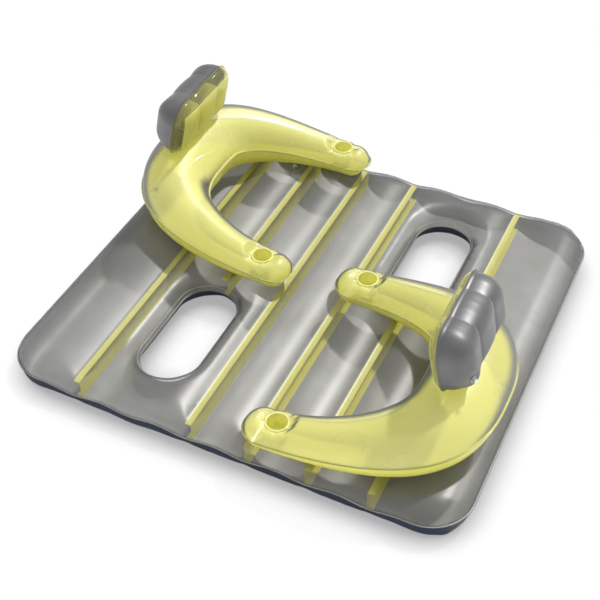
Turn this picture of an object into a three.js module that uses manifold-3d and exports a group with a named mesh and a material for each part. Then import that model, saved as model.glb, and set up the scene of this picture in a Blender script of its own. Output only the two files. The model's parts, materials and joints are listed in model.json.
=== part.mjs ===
// Inflatable pool lounger for two people who face each other: a square air mat with seven lobes and
// two foot wells, two U-shaped backrests with cup holders in their arm ends, and a lobed pillow on each.
// Millimetres. +X runs across the ribs, +Y along them, +Z up. The origin lies on the ground under the
// middle of the mat. The part is the same after half a turn about Z.

import * as THREE from "three";
import { mergeVertices } from "three/addons/utils/BufferGeometryUtils.js";
import Module from "manifold-3d";

const wasm = await Module();
wasm.setup();

// Film and welds
const filmWall = 0.6;
const clearance = 0.3;
const cutOverrun = 20;

// Air mat
const ribCount = 6;
const ribPitch = 230;
const sideColumn = 313;
const matLength = 1640;
const ribHeight = 84;
const lobeCrown = 75;
const standCut = 0.5;
const edgeRoll = 110;
const ribEndRoll = 40;
const cornerRadius = 160;
const edgeFlange = 8;

// Foot wells, one on each side of the middle
const wellWidth = 236;
const wellLength = 516;
const wellOffset = 380;
const wellRoll = 80;

// Ribs: C-section strips welded to both films
const ribFlange = 24;
const ribEndGap = 27;

// Backrest, drawn for the seat whose back is at +X and whose middle is at -seatOffset
const seatOffset = 360;
const armPitch = 772;
const armEndX = 160;
const backX = 735;
const armHalfWidth = 72;
const backHalfWidth = 145;
const armHalfHeight = 64;
const backHalfHeight = 150;
const settle = 24;
const seamFlange = 6;
const acrossPowerShare = 0.95;
const alongPowerShare = 0.66;
const widthPowerShare = 1.9;
const heightPowerShare = 1.3;

// Cup holders
const cupBore = 72;
const cupDepth = 84;
const cupFloor = 1.4;
const cupWall = 1;
const cupLipWidth = 6;
const cupLipHeight = 4;
const cupFromArmEnd = 50;
const cupSeatDrop = 12;

// Pillow, standing on the backrest
const pillowWidth = 420;
const pillowHeight = 232;
const pillowScallop = 8;
const pillowCorner = 85;
const pillowBackDepth = 102;
const pillowFrontDepth = 46;
const pillowRoll = 78;
const pillowValley = 18;
const pillowLean = THREE.MathUtils.degToRad(12);
const pillowX = 712;
const pillowFlange = 7;

// Inflation valves
const valveFlangeRadius = 14;
const valveFlangeWall = 1.2;
const valveCollarDepth = 8;
const valveCollarWall = 1.2;
const stemRadius = 7;
const stemBoreRadius = 4.6;
const stemOutside = 10;
const stemInside = 16;
const plugHeadHeight = 2.5;
const plugPinLength = 8;
const plugPinTaper = 0.5;
const flapWall = 0.8;
const strapWidth = 4;
const strapWall = 1.2;

// Where the valves are, as heights and distances from the seat's own middle
const backValveY = 150;
const backValveAngle = THREE.MathUtils.degToRad(-38);
const pillowValveShare = 0.357;
const pillowValveHeight = 48;

// Facets
const archShares = [0.22, 0.436, 0.564, 0.78];
const rollShares = [0, 0.1, 0.45, 0.885];
const wellRows = 2;
const wellRingShares = [0, 0.12, 0.4, 1];
const seatStations = 16;
const upperSteps = 7;
const lowerSteps = 6;
const tipTurnShare = 0.52;
const pillowStepsAcross = 12;
const pillowRowShares = [0, 0.06, 0.22, 0.5, 0.78, 0.94, 1];
const webEndSteps = 2;
const footShares = [0, 0.25, 0.5, 0.75];
const roundSteps = 14;
const cupSteps = 20;

// Materials
const silverFilm = filmMaterial(0x9c9ca0, 0.75);
const navyFilm = filmMaterial(0x26344c, 0.9);
const smokeFilm = filmMaterial(0xb9bdb0, 0.4);
const yellowFilm = filmMaterial(0xd9d94a, 0.9);
const clearYellowFilm = filmMaterial(0xe6e66a, 0.6);
const clearVinyl = filmMaterial(0xdfe3e6, 0.7);
const frostedPlastic = new THREE.MeshStandardMaterial({ color: 0xeceff0, roughness: 0.35, metalness: 0 });

function filmMaterial(color, opacity) {
  return new THREE.MeshStandardMaterial({
    color,
    roughness: 0.22,
    metalness: 0,
    transparent: true,
    opacity,
    side: THREE.DoubleSide,
  });
}

// Sizes that follow from the ones above
const halfX = ((ribCount - 1) * ribPitch) / 2 + sideColumn;
const halfY = matLength / 2;
const halfRib = ribHeight / 2;
const filmStep = clearance / 2 + filmWall;
const matSeam = filmStep + lobeCrown - standCut;
const matTop = matSeam + filmStep + lobeCrown - standCut;
const ribXs = Array.from({ length: ribCount }, (_, k) => (k - (ribCount - 1) / 2) * ribPitch);
const wellHalfWidth = wellWidth / 2;
const wellSpine = wellLength / 2 - wellHalfWidth;
const wellX = ribXs[1];
const matValveX = ribXs[0] + ribPitch / 2;
const shortRibEnd = -wellOffset + wellLength / 2 + ribEndGap;
const cupOuterRadius = cupBore / 2 + cupWall;

// Rise of an inflated roll at a distance from its seam, from 0 on the seam to 1.
function roll(distance, depth) {
  const left = 1 - Math.min(Math.max(distance / depth, 0), 1);
  return Math.sqrt(1 - left * left);
}

// Height of a circular arch of a given half span and rise, at a distance from its crown.
function arch(fromCrown, halfSpan, rise) {
  const radius = (halfSpan * halfSpan + rise * rise) / (2 * rise);
  const offset = Math.min(Math.abs(fromCrown), halfSpan);
  return Math.sqrt(radius * radius - offset * offset) - (radius - rise);
}

// Rounds the corners of a rectangle: the square at each corner becomes a quarter disc.
function roundCorner(x, y, halfWidth, halfHeight, radius) {
  const a = (Math.abs(x) - (halfWidth - radius)) / radius;
  const b = (Math.abs(y) - (halfHeight - radius)) / radius;
  if (a <= 0 || b <= 0) return [x, y];
  const roundX = halfWidth - radius + radius * a * Math.sqrt(1 - (b * b) / 2);
  const roundY = halfHeight - radius + radius * b * Math.sqrt(1 - (a * a) / 2);
  return [Math.sign(x) * roundX, Math.sign(y) * roundY];
}

function faceNormal(a, b, c) {
  return new THREE.Vector3()
    .subVectors(b, a)
    .cross(new THREE.Vector3().subVectors(c, a))
    .normalize();
}

// The step that moves a vertex inwards by the wall from every face round it, by least squares.
function wallStep(normals, wall) {
  const mean = new THREE.Vector3();
  for (const n of normals) mean.add(n);
  mean.normalize();
  const weak = 0.01;
  const m = new THREE.Matrix3().set(weak, 0, 0, 0, weak, 0, 0, 0, weak).elements;
  const right = mean.clone().multiplyScalar(weak * wall);
  for (const n of normals) {
    const parts = [n.x, n.y, n.z];
    for (let row = 0; row < 3; row++) {
      for (let column = 0; column < 3; column++) m[column * 3 + row] += parts[row] * parts[column];
    }
    right.addScaledVector(n, wall);
  }
  return right.applyMatrix3(new THREE.Matrix3().fromArray(m).invert());
}

// A film: an open surface given a wall on its inner side, with its edges closed.
function film(points, faces, wall) {
  const around = points.map(() => []);
  for (const [a, b, c] of faces) {
    const n = faceNormal(points[a], points[b], points[c]);
    for (const vertex of [a, b, c]) around[vertex].push(n);
  }
  const inner = points.map((p, k) => p.clone().sub(wallStep(around[k], wall)));
  const edges = new Map();
  for (const [a, b, c] of faces) {
    for (const [from, to] of [[a, b], [b, c], [c, a]]) edges.set(`${from},${to}`, [from, to]);
  }
  const all = [...points, ...inner];
  const count = points.length;
  const triangles = [];
  for (const [a, b, c] of faces) {
    triangles.push(a, b, c);
    triangles.push(a + count, c + count, b + count);
  }
  for (const [from, to] of edges.values()) {
    if (edges.has(`${to},${from}`)) continue;
    triangles.push(to, from, from + count);
    triangles.push(to, from + count, to + count);
  }
  return indexed(all, triangles);
}

function indexed(points, triangles) {
  const geometry = new THREE.BufferGeometry();
  geometry.setAttribute("position", new THREE.Float32BufferAttribute(points.flatMap((p) => [p.x, p.y, p.z]), 3));
  geometry.setIndex(triangles);
  geometry.computeVertexNormals();
  return geometry;
}

// The points that the faces use, and the faces with their corners numbered over those points.
function usedOnly(points, faces) {
  const used = [...new Set(faces.flat())];
  const place = new Map(used.map((vertex, k) => [vertex, k]));
  return [used.map((vertex) => points[vertex]), faces.map((face) => face.map((vertex) => place.get(vertex)))];
}

// Mirrors a list of faces so that they look the other way.
function flipped(faces) {
  return faces.map(([a, b, c]) => [a, c, b]);
}

function solid(geometry) {
  const bare = geometry.clone();
  bare.deleteAttribute("normal");
  if (bare.getAttribute("uv")) bare.deleteAttribute("uv");
  const merged = mergeVertices(bare);
  return new wasm.Manifold(
    new wasm.Mesh({
      numProp: 3,
      vertProperties: new Float32Array(merged.attributes.position.array),
      triVerts: new Uint32Array(merged.index.array),
    }),
  );
}

function fromSolid(body) {
  const mesh = body.getMesh();
  const geometry = new THREE.BufferGeometry();
  geometry.setAttribute("position", new THREE.BufferAttribute(new Float32Array(mesh.vertProperties), 3));
  geometry.setIndex(new THREE.BufferAttribute(new Uint32Array(mesh.triVerts), 1));
  geometry.computeVertexNormals();
  return geometry;
}

function cut(geometry, tool) {
  return fromSolid(solid(geometry).subtract(solid(tool)));
}

function joined(...geometries) {
  return fromSolid(geometries.map(solid).reduce((a, b) => a.add(b)));
}

// A turned piece about +Z: its profile is a closed list of [radius, height].
function turned(profile, steps) {
  const points = profile.map(([radius, height]) => new THREE.Vector2(radius, height));
  points.push(points[0].clone());
  return new THREE.LatheGeometry(points, steps).rotateX(Math.PI / 2);
}

// A rod along +Z between two heights.
function rod(radius, low, high, steps) {
  return new THREE.CylinderGeometry(radius, radius, high - low, steps)
    .rotateX(Math.PI / 2)
    .translate(0, 0, (low + high) / 2);
}

// The point and the outward normal where a ray first meets a surface.
function hit(geometry, from, direction) {
  const target = new THREE.Mesh(geometry, new THREE.MeshBasicMaterial({ side: THREE.DoubleSide }));
  const first = new THREE.Raycaster(from, direction.clone().normalize()).intersectObject(target)[0];
  return { point: first.point, normal: first.face.normal.clone() };
}

function piece(parent, name, geometry, material) {
  const mesh = new THREE.Mesh(geometry, material);
  mesh.name = name;
  parent.add(mesh);
  return mesh;
}

// Mat: heights

// Distance to the nearest rib and the half span of the arch beside it.
function ribReach(x, y) {
  let nearest = Infinity;
  ribXs.forEach((ribX, k) => {
    const along = k === 1 ? Math.max(shortRibEnd - y, 0) : k === ribCount - 2 ? Math.max(y + shortRibEnd, 0) : 0;
    nearest = Math.min(nearest, Math.hypot(x - ribX, along));
  });
  const outside = Math.abs(x) > ribXs[ribCount - 1];
  return { distance: nearest, halfSpan: outside ? sideColumn - edgeRoll : ribPitch / 2 };
}

function wellDistance(x, y, side) {
  const along = Math.max(Math.abs(y - side * wellOffset) - wellSpine, 0);
  return Math.hypot(x - side * -wellX, along) - wellHalfWidth;
}

// Height of the mat's top surface over its seam. The underside is its mirror image.
function matHeight(x, y) {
  const { distance, halfSpan } = ribReach(x, y);
  const rise = arch(halfSpan - Math.min(distance, halfSpan), halfSpan, lobeCrown - halfRib);
  const full = rise / (lobeCrown - halfRib);
  const endRoll = ribEndRoll + (edgeRoll - ribEndRoll) * full;
  const holeRoll = ribEndRoll + (wellRoll - ribEndRoll) * full;
  let height = (halfRib + rise) * roll(halfX - Math.abs(x), edgeRoll) * roll(halfY - Math.abs(y), endRoll);
  for (const side of [-1, 1]) height *= roll(wellDistance(x, y, side), holeRoll);
  return Math.min(height, lobeCrown - standCut);
}

// Mat: the plan is a grid of columns and rows, with a ring of facets round each foot well.

function matColumns() {
  const stops = rollShares.map((share) => -halfX + share * edgeRoll);
  const radius = ((sideColumn - edgeRoll) ** 2 + (lobeCrown - halfRib) ** 2) / (2 * (lobeCrown - halfRib));
  stops.push(-halfX + edgeRoll + Math.sqrt(2 * radius * standCut));
  const left = ribXs.slice(0, ribCount / 2);
  left.forEach((ribX, k) => {
    stops.push(ribX);
    const last = k === left.length - 1;
    const steps = last ? archShares.slice(0, archShares.length / 2) : archShares;
    for (const share of steps) stops.push(ribX + share * ribPitch);
  });
  return [...stops, ...stops.map((x) => -x).reverse()];
}

function matRows() {
  const stops = rollShares.map((share) => -halfY + share * edgeRoll);
  const wellStart = stops[stops.length - 1];
  for (let k = 1; k < wellRows; k++) stops.push(wellStart * (1 - k / wellRows));
  return [...stops, 0, ...stops.map((y) => -y).reverse()];
}

// Plan points and faces of the mat, with the points as they are before the corners are rounded.
function matPlan() {
  const columns = matColumns();
  const rows = matRows();
  const flat = [];
  const faces = [];
  const grid = columns.map((x) => rows.map((y) => flat.push([x, y]) - 1));
  const columnAt = (x) => columns.findIndex((stop) => Math.abs(stop - x) < clearance);
  const first = { left: columnAt(ribXs[0]), right: columnAt(ribXs[2]), low: rollShares.length - 1 };
  first.high = first.low + wellRows;
  const inWell = (i, j) => i >= first.left && i < first.right && j >= first.low && j < first.high;
  for (let i = 0; i < columns.length - 1; i++) {
    for (let j = 0; j < rows.length - 1; j++) {
      if (inWell(i, j) || inWell(columns.length - 2 - i, rows.length - 2 - j)) continue;
      const [a, b, c, d] = [grid[i][j], grid[i + 1][j], grid[i + 1][j + 1], grid[i][j + 1]];
      faces.push([a, b, c], [a, c, d]);
    }
  }
  for (const side of [-1, 1]) wellRing(flat, faces, grid, first, side);
  return { flat, faces, grid };
}

// The border of a foot well's field on the grid, counterclockwise from its right-hand upper corner,
// each node with the point of the well's rim that it faces.
function wellBorder(first) {
  const across = first.right - first.left;
  const nodes = [];
  const arc = (step, spine, start) => {
    const turn = start + (Math.PI * step) / across;
    return [wellHalfWidth * Math.cos(turn), spine + wellHalfWidth * Math.sin(turn)];
  };
  for (let k = 0; k <= across; k++) nodes.push({ i: first.right - k, j: first.high, rim: arc(k, wellSpine, 0) });
  for (let k = 1; k < wellRows; k++) {
    nodes.push({ i: first.left, j: first.high - k, rim: [-wellHalfWidth, wellSpine * (1 - (2 * k) / wellRows)] });
  }
  for (let k = 0; k <= across; k++) {
    nodes.push({ i: first.left + k, j: first.low, rim: arc(k, -wellSpine, Math.PI) });
  }
  for (let k = 1; k < wellRows; k++) {
    nodes.push({ i: first.right, j: first.low + k, rim: [wellHalfWidth, wellSpine * ((2 * k) / wellRows - 1)] });
  }
  return nodes;
}

// The rings of facets round one foot well: side -1 is the one at -X, 1 its copy after half a turn.
function wellRing(flat, faces, grid, first, side) {
  const border = wellBorder(first);
  const rings = wellRingShares.map(() => []);
  for (const { i, j, rim } of border) {
    const outer = side < 0 ? grid[i][j] : grid[grid.length - 1 - i][grid[0].length - 1 - j];
    const rimX = -side * (wellX + rim[0]);
    const rimY = -side * (rim[1] - wellOffset);
    wellRingShares.forEach((share, level) => {
      if (share === 1) {
        rings[level].push(outer);
        return;
      }
      const x = rimX + (flat[outer][0] - rimX) * share;
      const y = rimY + (flat[outer][1] - rimY) * share;
      rings[level].push(flat.push([x, y]) - 1);
    });
  }
  for (let level = 0; level < rings.length - 1; level++) {
    for (let k = 0; k < border.length; k++) {
      const next = (k + 1) % border.length;
      const [a, b] = [rings[level][k], rings[level][next]];
      const [c, d] = [rings[level + 1][next], rings[level + 1][k]];
      faces.push([a, d, c], [a, c, b]);
    }
  }
}

// The mat's border with the weld flange outside it.
function matFlange(flat, plan, faces, grid) {
  const lastColumn = grid.length - 1;
  const lastRow = grid[0].length - 1;
  const loop = [];
  for (let i = 0; i < lastColumn; i++) loop.push(grid[i][0]);
  for (let j = 0; j < lastRow; j++) loop.push(grid[lastColumn][j]);
  for (let i = lastColumn; i > 0; i--) loop.push(grid[i][lastRow]);
  for (let j = lastRow; j > 0; j--) loop.push(grid[0][j]);
  const first = plan.length;
  loop.forEach((vertex, k) => {
    const before = plan[loop[(k + loop.length - 1) % loop.length]];
    const after = plan[loop[(k + 1) % loop.length]];
    const along = new THREE.Vector2(after[0] - before[0], after[1] - before[1]).normalize();
    plan.push([plan[vertex][0] + along.y * edgeFlange, plan[vertex][1] - along.x * edgeFlange]);
    flat.push(flat[vertex]);
  });
  loop.forEach((vertex, k) => {
    const next = (k + 1) % loop.length;
    faces.push([vertex, first + k, first + next], [vertex, first + next, loop[next]]);
  });
}

function matFilms() {
  const { flat, faces, grid } = matPlan();
  const plan = flat.map(([x, y]) => roundCorner(x, y, halfX, halfY, cornerRadius));
  matFlange(flat, plan, faces, grid);
  const heights = flat.map(([x, y]) => matHeight(x, y));
  const surface = (side) =>
    plan.map(([x, y], k) => new THREE.Vector3(x, y, matSeam + side * (filmStep + heights[k])));
  return {
    top: film(...usedOnly(surface(1), faces), filmWall),
    bottom: film(...usedOnly(surface(-1), flipped(faces)), filmWall),
  };
}

// Ribs

// Heights of the mat's film over the seam at the corners of its facets along one rib.
function ribLine(ribX) {
  const rows = matRows();
  const short = ribX === ribXs[1];
  const stops = short
    ? [...wellRingShares.map((share) => (-wellOffset + wellLength / 2) * (1 - share)), ...rows.filter((y) => y > 0)]
    : rows;
  return stops.map((y) => [y, matHeight(ribX, y)]);
}

function between(line, y) {
  const next = line.findIndex(([stop]) => stop >= y);
  if (line[next][0] === y) return line[next][1];
  const [[y0, h0], [y1, h1]] = [line[next - 1], line[next]];
  return h0 + ((h1 - h0) * (y - y0)) / (y1 - y0);
}

// A C-section strip: the web stands on one side and both flanges turn the same way.
function ribSection(ribX, y, height) {
  const top = matSeam + height;
  const low = matSeam - height;
  const [left, right] = [ribX - ribFlange / 2, ribX + ribFlange / 2];
  return [
    [left, top],
    [left, top - filmWall],
    [right - filmWall, top - filmWall],
    [right - filmWall, low + filmWall],
    [left, low + filmWall],
    [left, low],
    [right, low],
    [right, top],
  ].map(([x, z]) => new THREE.Vector3(x, y, z));
}

// A body through a list of sections with the same number of corners, closed at both ends.
function loft(sections) {
  const corners = sections[0].length;
  const triangles = [];
  for (let s = 0; s < sections.length - 1; s++) {
    for (let k = 0; k < corners; k++) {
      const next = (k + 1) % corners;
      const [a, b] = [s * corners + k, s * corners + next];
      triangles.push(a, b + corners, b, a, a + corners, b + corners);
    }
  }
  const outline = sections[0].map((p) => new THREE.Vector2(p.x, p.z));
  const last = (sections.length - 1) * corners;
  for (const [a, b, c] of THREE.ShapeUtils.triangulateShape(outline, [])) {
    triangles.push(a, b, c, a + last, c + last, b + last);
  }
  return indexed(sections.flat(), triangles);
}

function rib(index) {
  const mirrored = index >= ribCount / 2;
  const source = mirrored ? ribCount - 1 - index : index;
  const ribX = ribXs[source];
  const line = ribLine(ribX);
  const start = source === 1 ? shortRibEnd : -halfY + ribEndGap;
  const end = halfY - ribEndGap;
  const inside = line.map(([y]) => y).filter((y) => y > start && y < end);
  const lower = filmWall - filmStep + clearance * 2;
  const sections = [start, ...inside, end].map((y) => ribSection(ribX, y, between(line, y) - lower));
  const geometry = loft(sections);
  return mirrored ? geometry.rotateZ(Math.PI) : geometry;
}

// Backrest: a tube whose middle line is a rounded U and whose radius grows towards the back.

function planPoint(turn) {
  const c = Math.max(Math.cos(turn), 0);
  const s = Math.sin(turn);
  const x = armEndX + (backX - armEndX) * c ** acrossPowerShare;
  const y = -seatOffset + (armPitch / 2) * Math.sign(s) * Math.abs(s) ** alongPowerShare;
  return new THREE.Vector2(x, y);
}

// The turn at which the middle line is this far to the side of the seat's middle.
function turnAtSide(distance) {
  return Math.asin((distance / (armPitch / 2)) ** (1 / alongPowerShare));
}

function tubeHalves(turn) {
  const c = Math.max(Math.cos(turn), 0);
  return {
    halfWidth: armHalfWidth + (backHalfWidth - armHalfWidth) * c ** widthPowerShare,
    halfHeight: armHalfHeight + (backHalfHeight - armHalfHeight) * c ** heightPowerShare,
  };
}

function seamHeight(halfHeight) {
  return matTop + clearance + filmStep + halfHeight - settle;
}

// How far a cup holder's lip draws the upper film down beside it.
function cupDraw(middle) {
  const reach = cupOuterRadius + cupLipWidth;
  const distance = Math.abs(middle.x - armEndX - cupFromArmEnd);
  return cupSeatDrop * Math.min(Math.max(2 - distance / reach, 0), 1);
}

// Stations along the tube: middle, outward direction in plan, half sizes and seam height.
function tubeStations() {
  const quarter = Math.PI / 2;
  const nudge = quarter / (seatStations * seatStations);
  const tip = (side) => {
    const turn = tipTurnShare * quarter;
    const middle = planPoint(side * quarter);
    middle.x -= armHalfWidth * Math.sin(turn);
    const shrink = Math.cos(turn);
    return {
      middle,
      out: new THREE.Vector2(0, side),
      halfWidth: armHalfWidth * shrink,
      halfHeight: armHalfHeight * shrink,
      seam: seamHeight(armHalfHeight),
    };
  };
  const stations = [tip(-1)];
  for (let k = 0; k <= seatStations; k++) {
    const turn = -quarter + (2 * quarter * k) / seatStations;
    const before = planPoint(Math.max(turn - nudge, -quarter));
    const after = planPoint(Math.min(turn + nudge, quarter));
    const along = after.sub(before).normalize();
    const out = new THREE.Vector2(along.y, -along.x);
    const { halfWidth, halfHeight } = tubeHalves(turn);
    stations.push({ middle: planPoint(turn), out, halfWidth, halfHeight, seam: seamHeight(halfHeight) });
  }
  stations.push(tip(1));
  return stations;
}

// One film of the tube, with its flange: side 1 is the upper one, -1 the lower, flattened one.
function tubeFilm(side, steps) {
  const stations = tubeStations();
  const points = [];
  const faces = [];
  const rows = stations.map(({ middle, out, halfWidth, halfHeight, seam }) => {
    const row = [];
    const limit = halfHeight - (side > 0 ? cupDraw(middle) : settle);
    for (let k = -1; k <= steps + 1; k++) {
      const turn = (Math.PI * Math.min(Math.max(k, 0), steps)) / steps;
      const reach = halfWidth * Math.cos(turn) + (k < 0 ? seamFlange : k > steps ? -seamFlange : 0);
      const bulge = Math.min(halfHeight * Math.sin(turn), limit);
      const z = seam + side * (filmStep + bulge);
      row.push(points.push(new THREE.Vector3(middle.x + out.x * reach, middle.y + out.y * reach, z)) - 1);
    }
    return row;
  });
  for (let s = 0; s < rows.length - 1; s++) {
    for (let k = 0; k < rows[s].length - 1; k++) {
      const [a, b, c, d] = [rows[s][k], rows[s + 1][k], rows[s + 1][k + 1], rows[s][k + 1]];
      faces.push([a, b, c], [a, c, d]);
    }
  }
  tubeTip(points, faces, rows[0], stations[0], side, -1);
  tubeTip(points, faces, rows[rows.length - 1], stations[stations.length - 1], side, 1);
  return film(points, side > 0 ? faces : flipped(faces), filmWall);
}

// The rounded end of an arm: the last section runs together in one point on the seam.
function tubeTip(points, faces, row, station, side, end) {
  const { middle, seam } = station;
  const poleX = armEndX - armHalfWidth;
  const z = seam + side * filmStep;
  const pole = points.push(new THREE.Vector3(poleX, middle.y, z)) - 1;
  const nose = points.push(new THREE.Vector3(poleX - seamFlange, middle.y, z)) - 1;
  const add = (a, b, c) => faces.push(end > 0 ? [a, b, c] : [a, c, b]);
  const last = row.length - 1;
  for (let k = 1; k < last - 1; k++) add(row[k], pole, row[k + 1]);
  add(row[0], nose, row[1]);
  add(row[1], nose, pole);
  add(row[last - 1], nose, row[last]);
  add(row[last - 1], pole, nose);
}

// Cup holders

function cupPlaces() {
  const share = cupFromArmEnd / (backX - armEndX);
  const turn = Math.acos(share ** (1 / acrossPowerShare));
  return [-1, 1].map((side) => planPoint(side * turn));
}

// The highest point of a surface under a ring.
function crestUnder(geometry, middle, radius) {
  const down = new THREE.Vector3(0, 0, -1);
  let crest = -Infinity;
  for (let k = 0; k < cupSteps; k++) {
    const turn = (2 * Math.PI * k) / cupSteps;
    for (const reach of [0, radius / 2, radius]) {
      const x = middle.x + reach * Math.cos(turn);
      const y = middle.y + reach * Math.sin(turn);
      const from = new THREE.Vector3(x, y, matTop + 4 * backHalfHeight);
      const ray = new THREE.Raycaster(from, down);
      const found = ray.intersectObject(new THREE.Mesh(geometry))[0];
      if (found) crest = Math.max(crest, found.point.z);
    }
  }
  return crest;
}

function cupSleeve() {
  const inner = cupBore / 2;
  const lip = cupOuterRadius + cupLipWidth;
  return turned(
    [
      [0, -cupDepth],
      [cupOuterRadius, -cupDepth],
      [cupOuterRadius, 0],
      [lip, 0],
      [lip, cupLipHeight / 2],
      [lip - cupLipWidth / 3, cupLipHeight],
      [inner + cupWall, cupLipHeight],
      [inner, cupLipHeight / 2],
      [inner, cupFloor - cupDepth],
      [0, cupFloor - cupDepth],
    ],
    cupSteps,
  );
}

// Valves, drawn about +Z with the film's outer face at height 0

function valveBase() {
  const bore = stemRadius + clearance;
  const ring = turned(
    [
      [bore, -valveCollarDepth],
      [bore + valveCollarWall, -valveCollarDepth],
      [bore + valveCollarWall, clearance],
      [valveFlangeRadius, clearance],
      [valveFlangeRadius - valveFlangeWall / 2, clearance + valveFlangeWall],
      [bore, clearance + valveFlangeWall],
    ],
    roundSteps,
  );
  const turnIn = (valveFlangeRadius - stemRadius) / 2 + strapWall;
  const standing = valveFlangeRadius - valveFlangeWall;
  const bendHeight = stemOutside + plugHeadHeight - turnIn;
  const band = new THREE.Shape();
  band.moveTo(standing, clearance + valveFlangeWall / 2);
  band.lineTo(standing, bendHeight);
  band.absarc(standing - turnIn, bendHeight, turnIn, 0, Math.PI / 2, false);
  band.lineTo(stemRadius + clearance + strapWall / 4, bendHeight + turnIn);
  band.lineTo(stemRadius + clearance + strapWall / 4, bendHeight + turnIn - strapWall);
  band.absarc(standing - turnIn, bendHeight, turnIn - strapWall, Math.PI / 2, 0, true);
  band.lineTo(standing - strapWall, clearance + valveFlangeWall / 2);
  const strap = new THREE.ExtrudeGeometry(band, { depth: strapWidth, bevelEnabled: false, curveSegments: 4 })
    .translate(0, 0, -strapWidth / 2)
    .rotateX(Math.PI / 2);
  return joined(ring, strap);
}

function valveStem() {
  return turned(
    [
      [stemBoreRadius, -stemInside],
      [stemRadius - valveCollarWall, -stemInside],
      [stemRadius, -stemInside + valveCollarWall],
      [stemRadius, stemOutside],
      [stemBoreRadius, stemOutside],
    ],
    roundSteps,
  );
}

function valvePlug() {
  const seat = stemOutside + clearance;
  const pin = stemBoreRadius - clearance;
  return turned(
    [
      [0, seat - plugPinLength],
      [pin - plugPinTaper, seat - plugPinLength],
      [pin, seat - plugPinLength / 2],
      [pin, seat],
      [stemRadius, seat],
      [stemRadius, seat + plugHeadHeight / 2],
      [stemRadius - plugHeadHeight / 4, seat + plugHeadHeight],
      [0, seat + plugHeadHeight],
    ],
    roundSteps,
  );
}

function valveFlap() {
  const top = -stemInside - clearance;
  return rod(stemBoreRadius + valveCollarWall / 2, top - flapWall, top, roundSteps);
}

// Cuts the film for a valve and adds its four pieces where a ray meets the film.
function fitValve(parent, name, filmGeometry, from, direction) {
  const { point, normal } = hit(filmGeometry, from, direction);
  const place = new THREE.Group();
  place.position.copy(point);
  place.quaternion.setFromUnitVectors(new THREE.Vector3(0, 0, 1), normal);
  place.updateMatrix();
  parent.add(place);
  piece(place, `${name}_base`, valveBase(), clearVinyl);
  piece(place, `${name}_stem`, valveStem(), clearVinyl);
  piece(place, `${name}_plug`, valvePlug(), frostedPlastic);
  piece(place, `${name}_check_flap`, valveFlap(), clearVinyl);
  const hole = stemRadius + valveCollarWall + clearance * 2;
  const tool = rod(hole, -stemInside, stemInside, roundSteps).applyMatrix4(place.matrix);
  return cut(filmGeometry, tool);
}

// Pillow, drawn with its seam in the plane X = 0, its width along Y and its foot at Z = 0

// Height of one of the three lobes at a place across the pillow, from 0 in a valley to 1.
function lobeRise(y) {
  const lobe = pillowWidth / 3;
  const middle = Math.max(Math.min(Math.round(y / lobe), 1), -1) * lobe;
  return arch(y - middle, lobe / 2, pillowValley) / pillowValley;
}

// How far the film under the pillow's foot falls beside its middle, found in the pillow's own frame.
function footLine(film) {
  const down = new THREE.Vector3(0, 0, -1);
  const height = (y) => {
    let top = -Infinity;
    for (const x of [-filmStep, 0, filmStep]) {
      top = Math.max(top, hit(film, new THREE.Vector3(x, y, pillowHeight), down).point.z);
    }
    return top;
  };
  const middle = height(0);
  return (y) => middle - height(y);
}

function pillowSurface(side, drop) {
  const depth = side > 0 ? pillowBackDepth : pillowFrontDepth;
  const points = [];
  const faces = [];
  const columns = pillowStepsAcross;
  const rows = pillowRowShares;
  const grid = [];
  for (let i = 0; i <= columns; i++) {
    const flatY = -pillowWidth / 2 + (pillowWidth * i) / columns;
    const column = [];
    for (const share of rows) {
      const flatZ = pillowHeight * (share - 1 / 2);
      const [y, z] = roundCorner(flatY, flatZ, pillowWidth / 2, pillowHeight / 2, pillowCorner);
      const scallop = pillowScallop * (lobeRise(y) - 1) * share;
      const foot = drop(y) * (1 - share);
      const fromSide = pillowWidth / 2 - Math.abs(flatY);
      const fromEnd = pillowHeight / 2 - Math.abs(flatZ);
      const full = roll(fromSide, pillowRoll) * roll(fromEnd, pillowRoll);
      const valley = (pillowValley * (1 - lobeRise(y)) * depth) / pillowBackDepth;
      const bulge = Math.max(full * (depth - valley), 0);
      const x = side * (filmStep + bulge);
      column.push(points.push(new THREE.Vector3(x, y, z + pillowHeight / 2 + scallop - foot)) - 1);
    }
    grid.push(column);
  }
  for (let i = 0; i < columns; i++) {
    for (let j = 0; j < rows.length - 1; j++) {
      const [a, b, c, d] = [grid[i][j], grid[i + 1][j], grid[i + 1][j + 1], grid[i][j + 1]];
      faces.push([a, b, c], [a, c, d]);
    }
  }
  pillowFlangeRing(points, faces, grid);
  const flangeStart = grid.length * grid[0].length;
  return { geometry: film(points, side > 0 ? faces : flipped(faces), filmWall), points, grid, flangeStart };
}

function pillowFlangeRing(points, faces, grid) {
  const lastColumn = grid.length - 1;
  const lastRow = grid[0].length - 1;
  const loop = [];
  for (let i = 0; i < lastColumn; i++) loop.push(grid[i][0]);
  for (let j = 0; j < lastRow; j++) loop.push(grid[lastColumn][j]);
  for (let i = lastColumn; i > 0; i--) loop.push(grid[i][lastRow]);
  for (let j = lastRow; j > 0; j--) loop.push(grid[0][j]);
  const outer = loop.map((vertex, k) => {
    const before = points[loop[(k + loop.length - 1) % loop.length]];
    const after = points[loop[(k + 1) % loop.length]];
    const along = after.clone().sub(before).normalize();
    const shift = new THREE.Vector3(0, along.z, -along.y).multiplyScalar(pillowFlange);
    return points[vertex].clone().add(shift);
  });
  const first = points.length;
  points.push(...outer);
  loop.forEach((vertex, k) => {
    const next = (k + 1) % loop.length;
    faces.push([vertex, first + k, first + next], [vertex, first + next, loop[next]]);
  });
}

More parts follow.
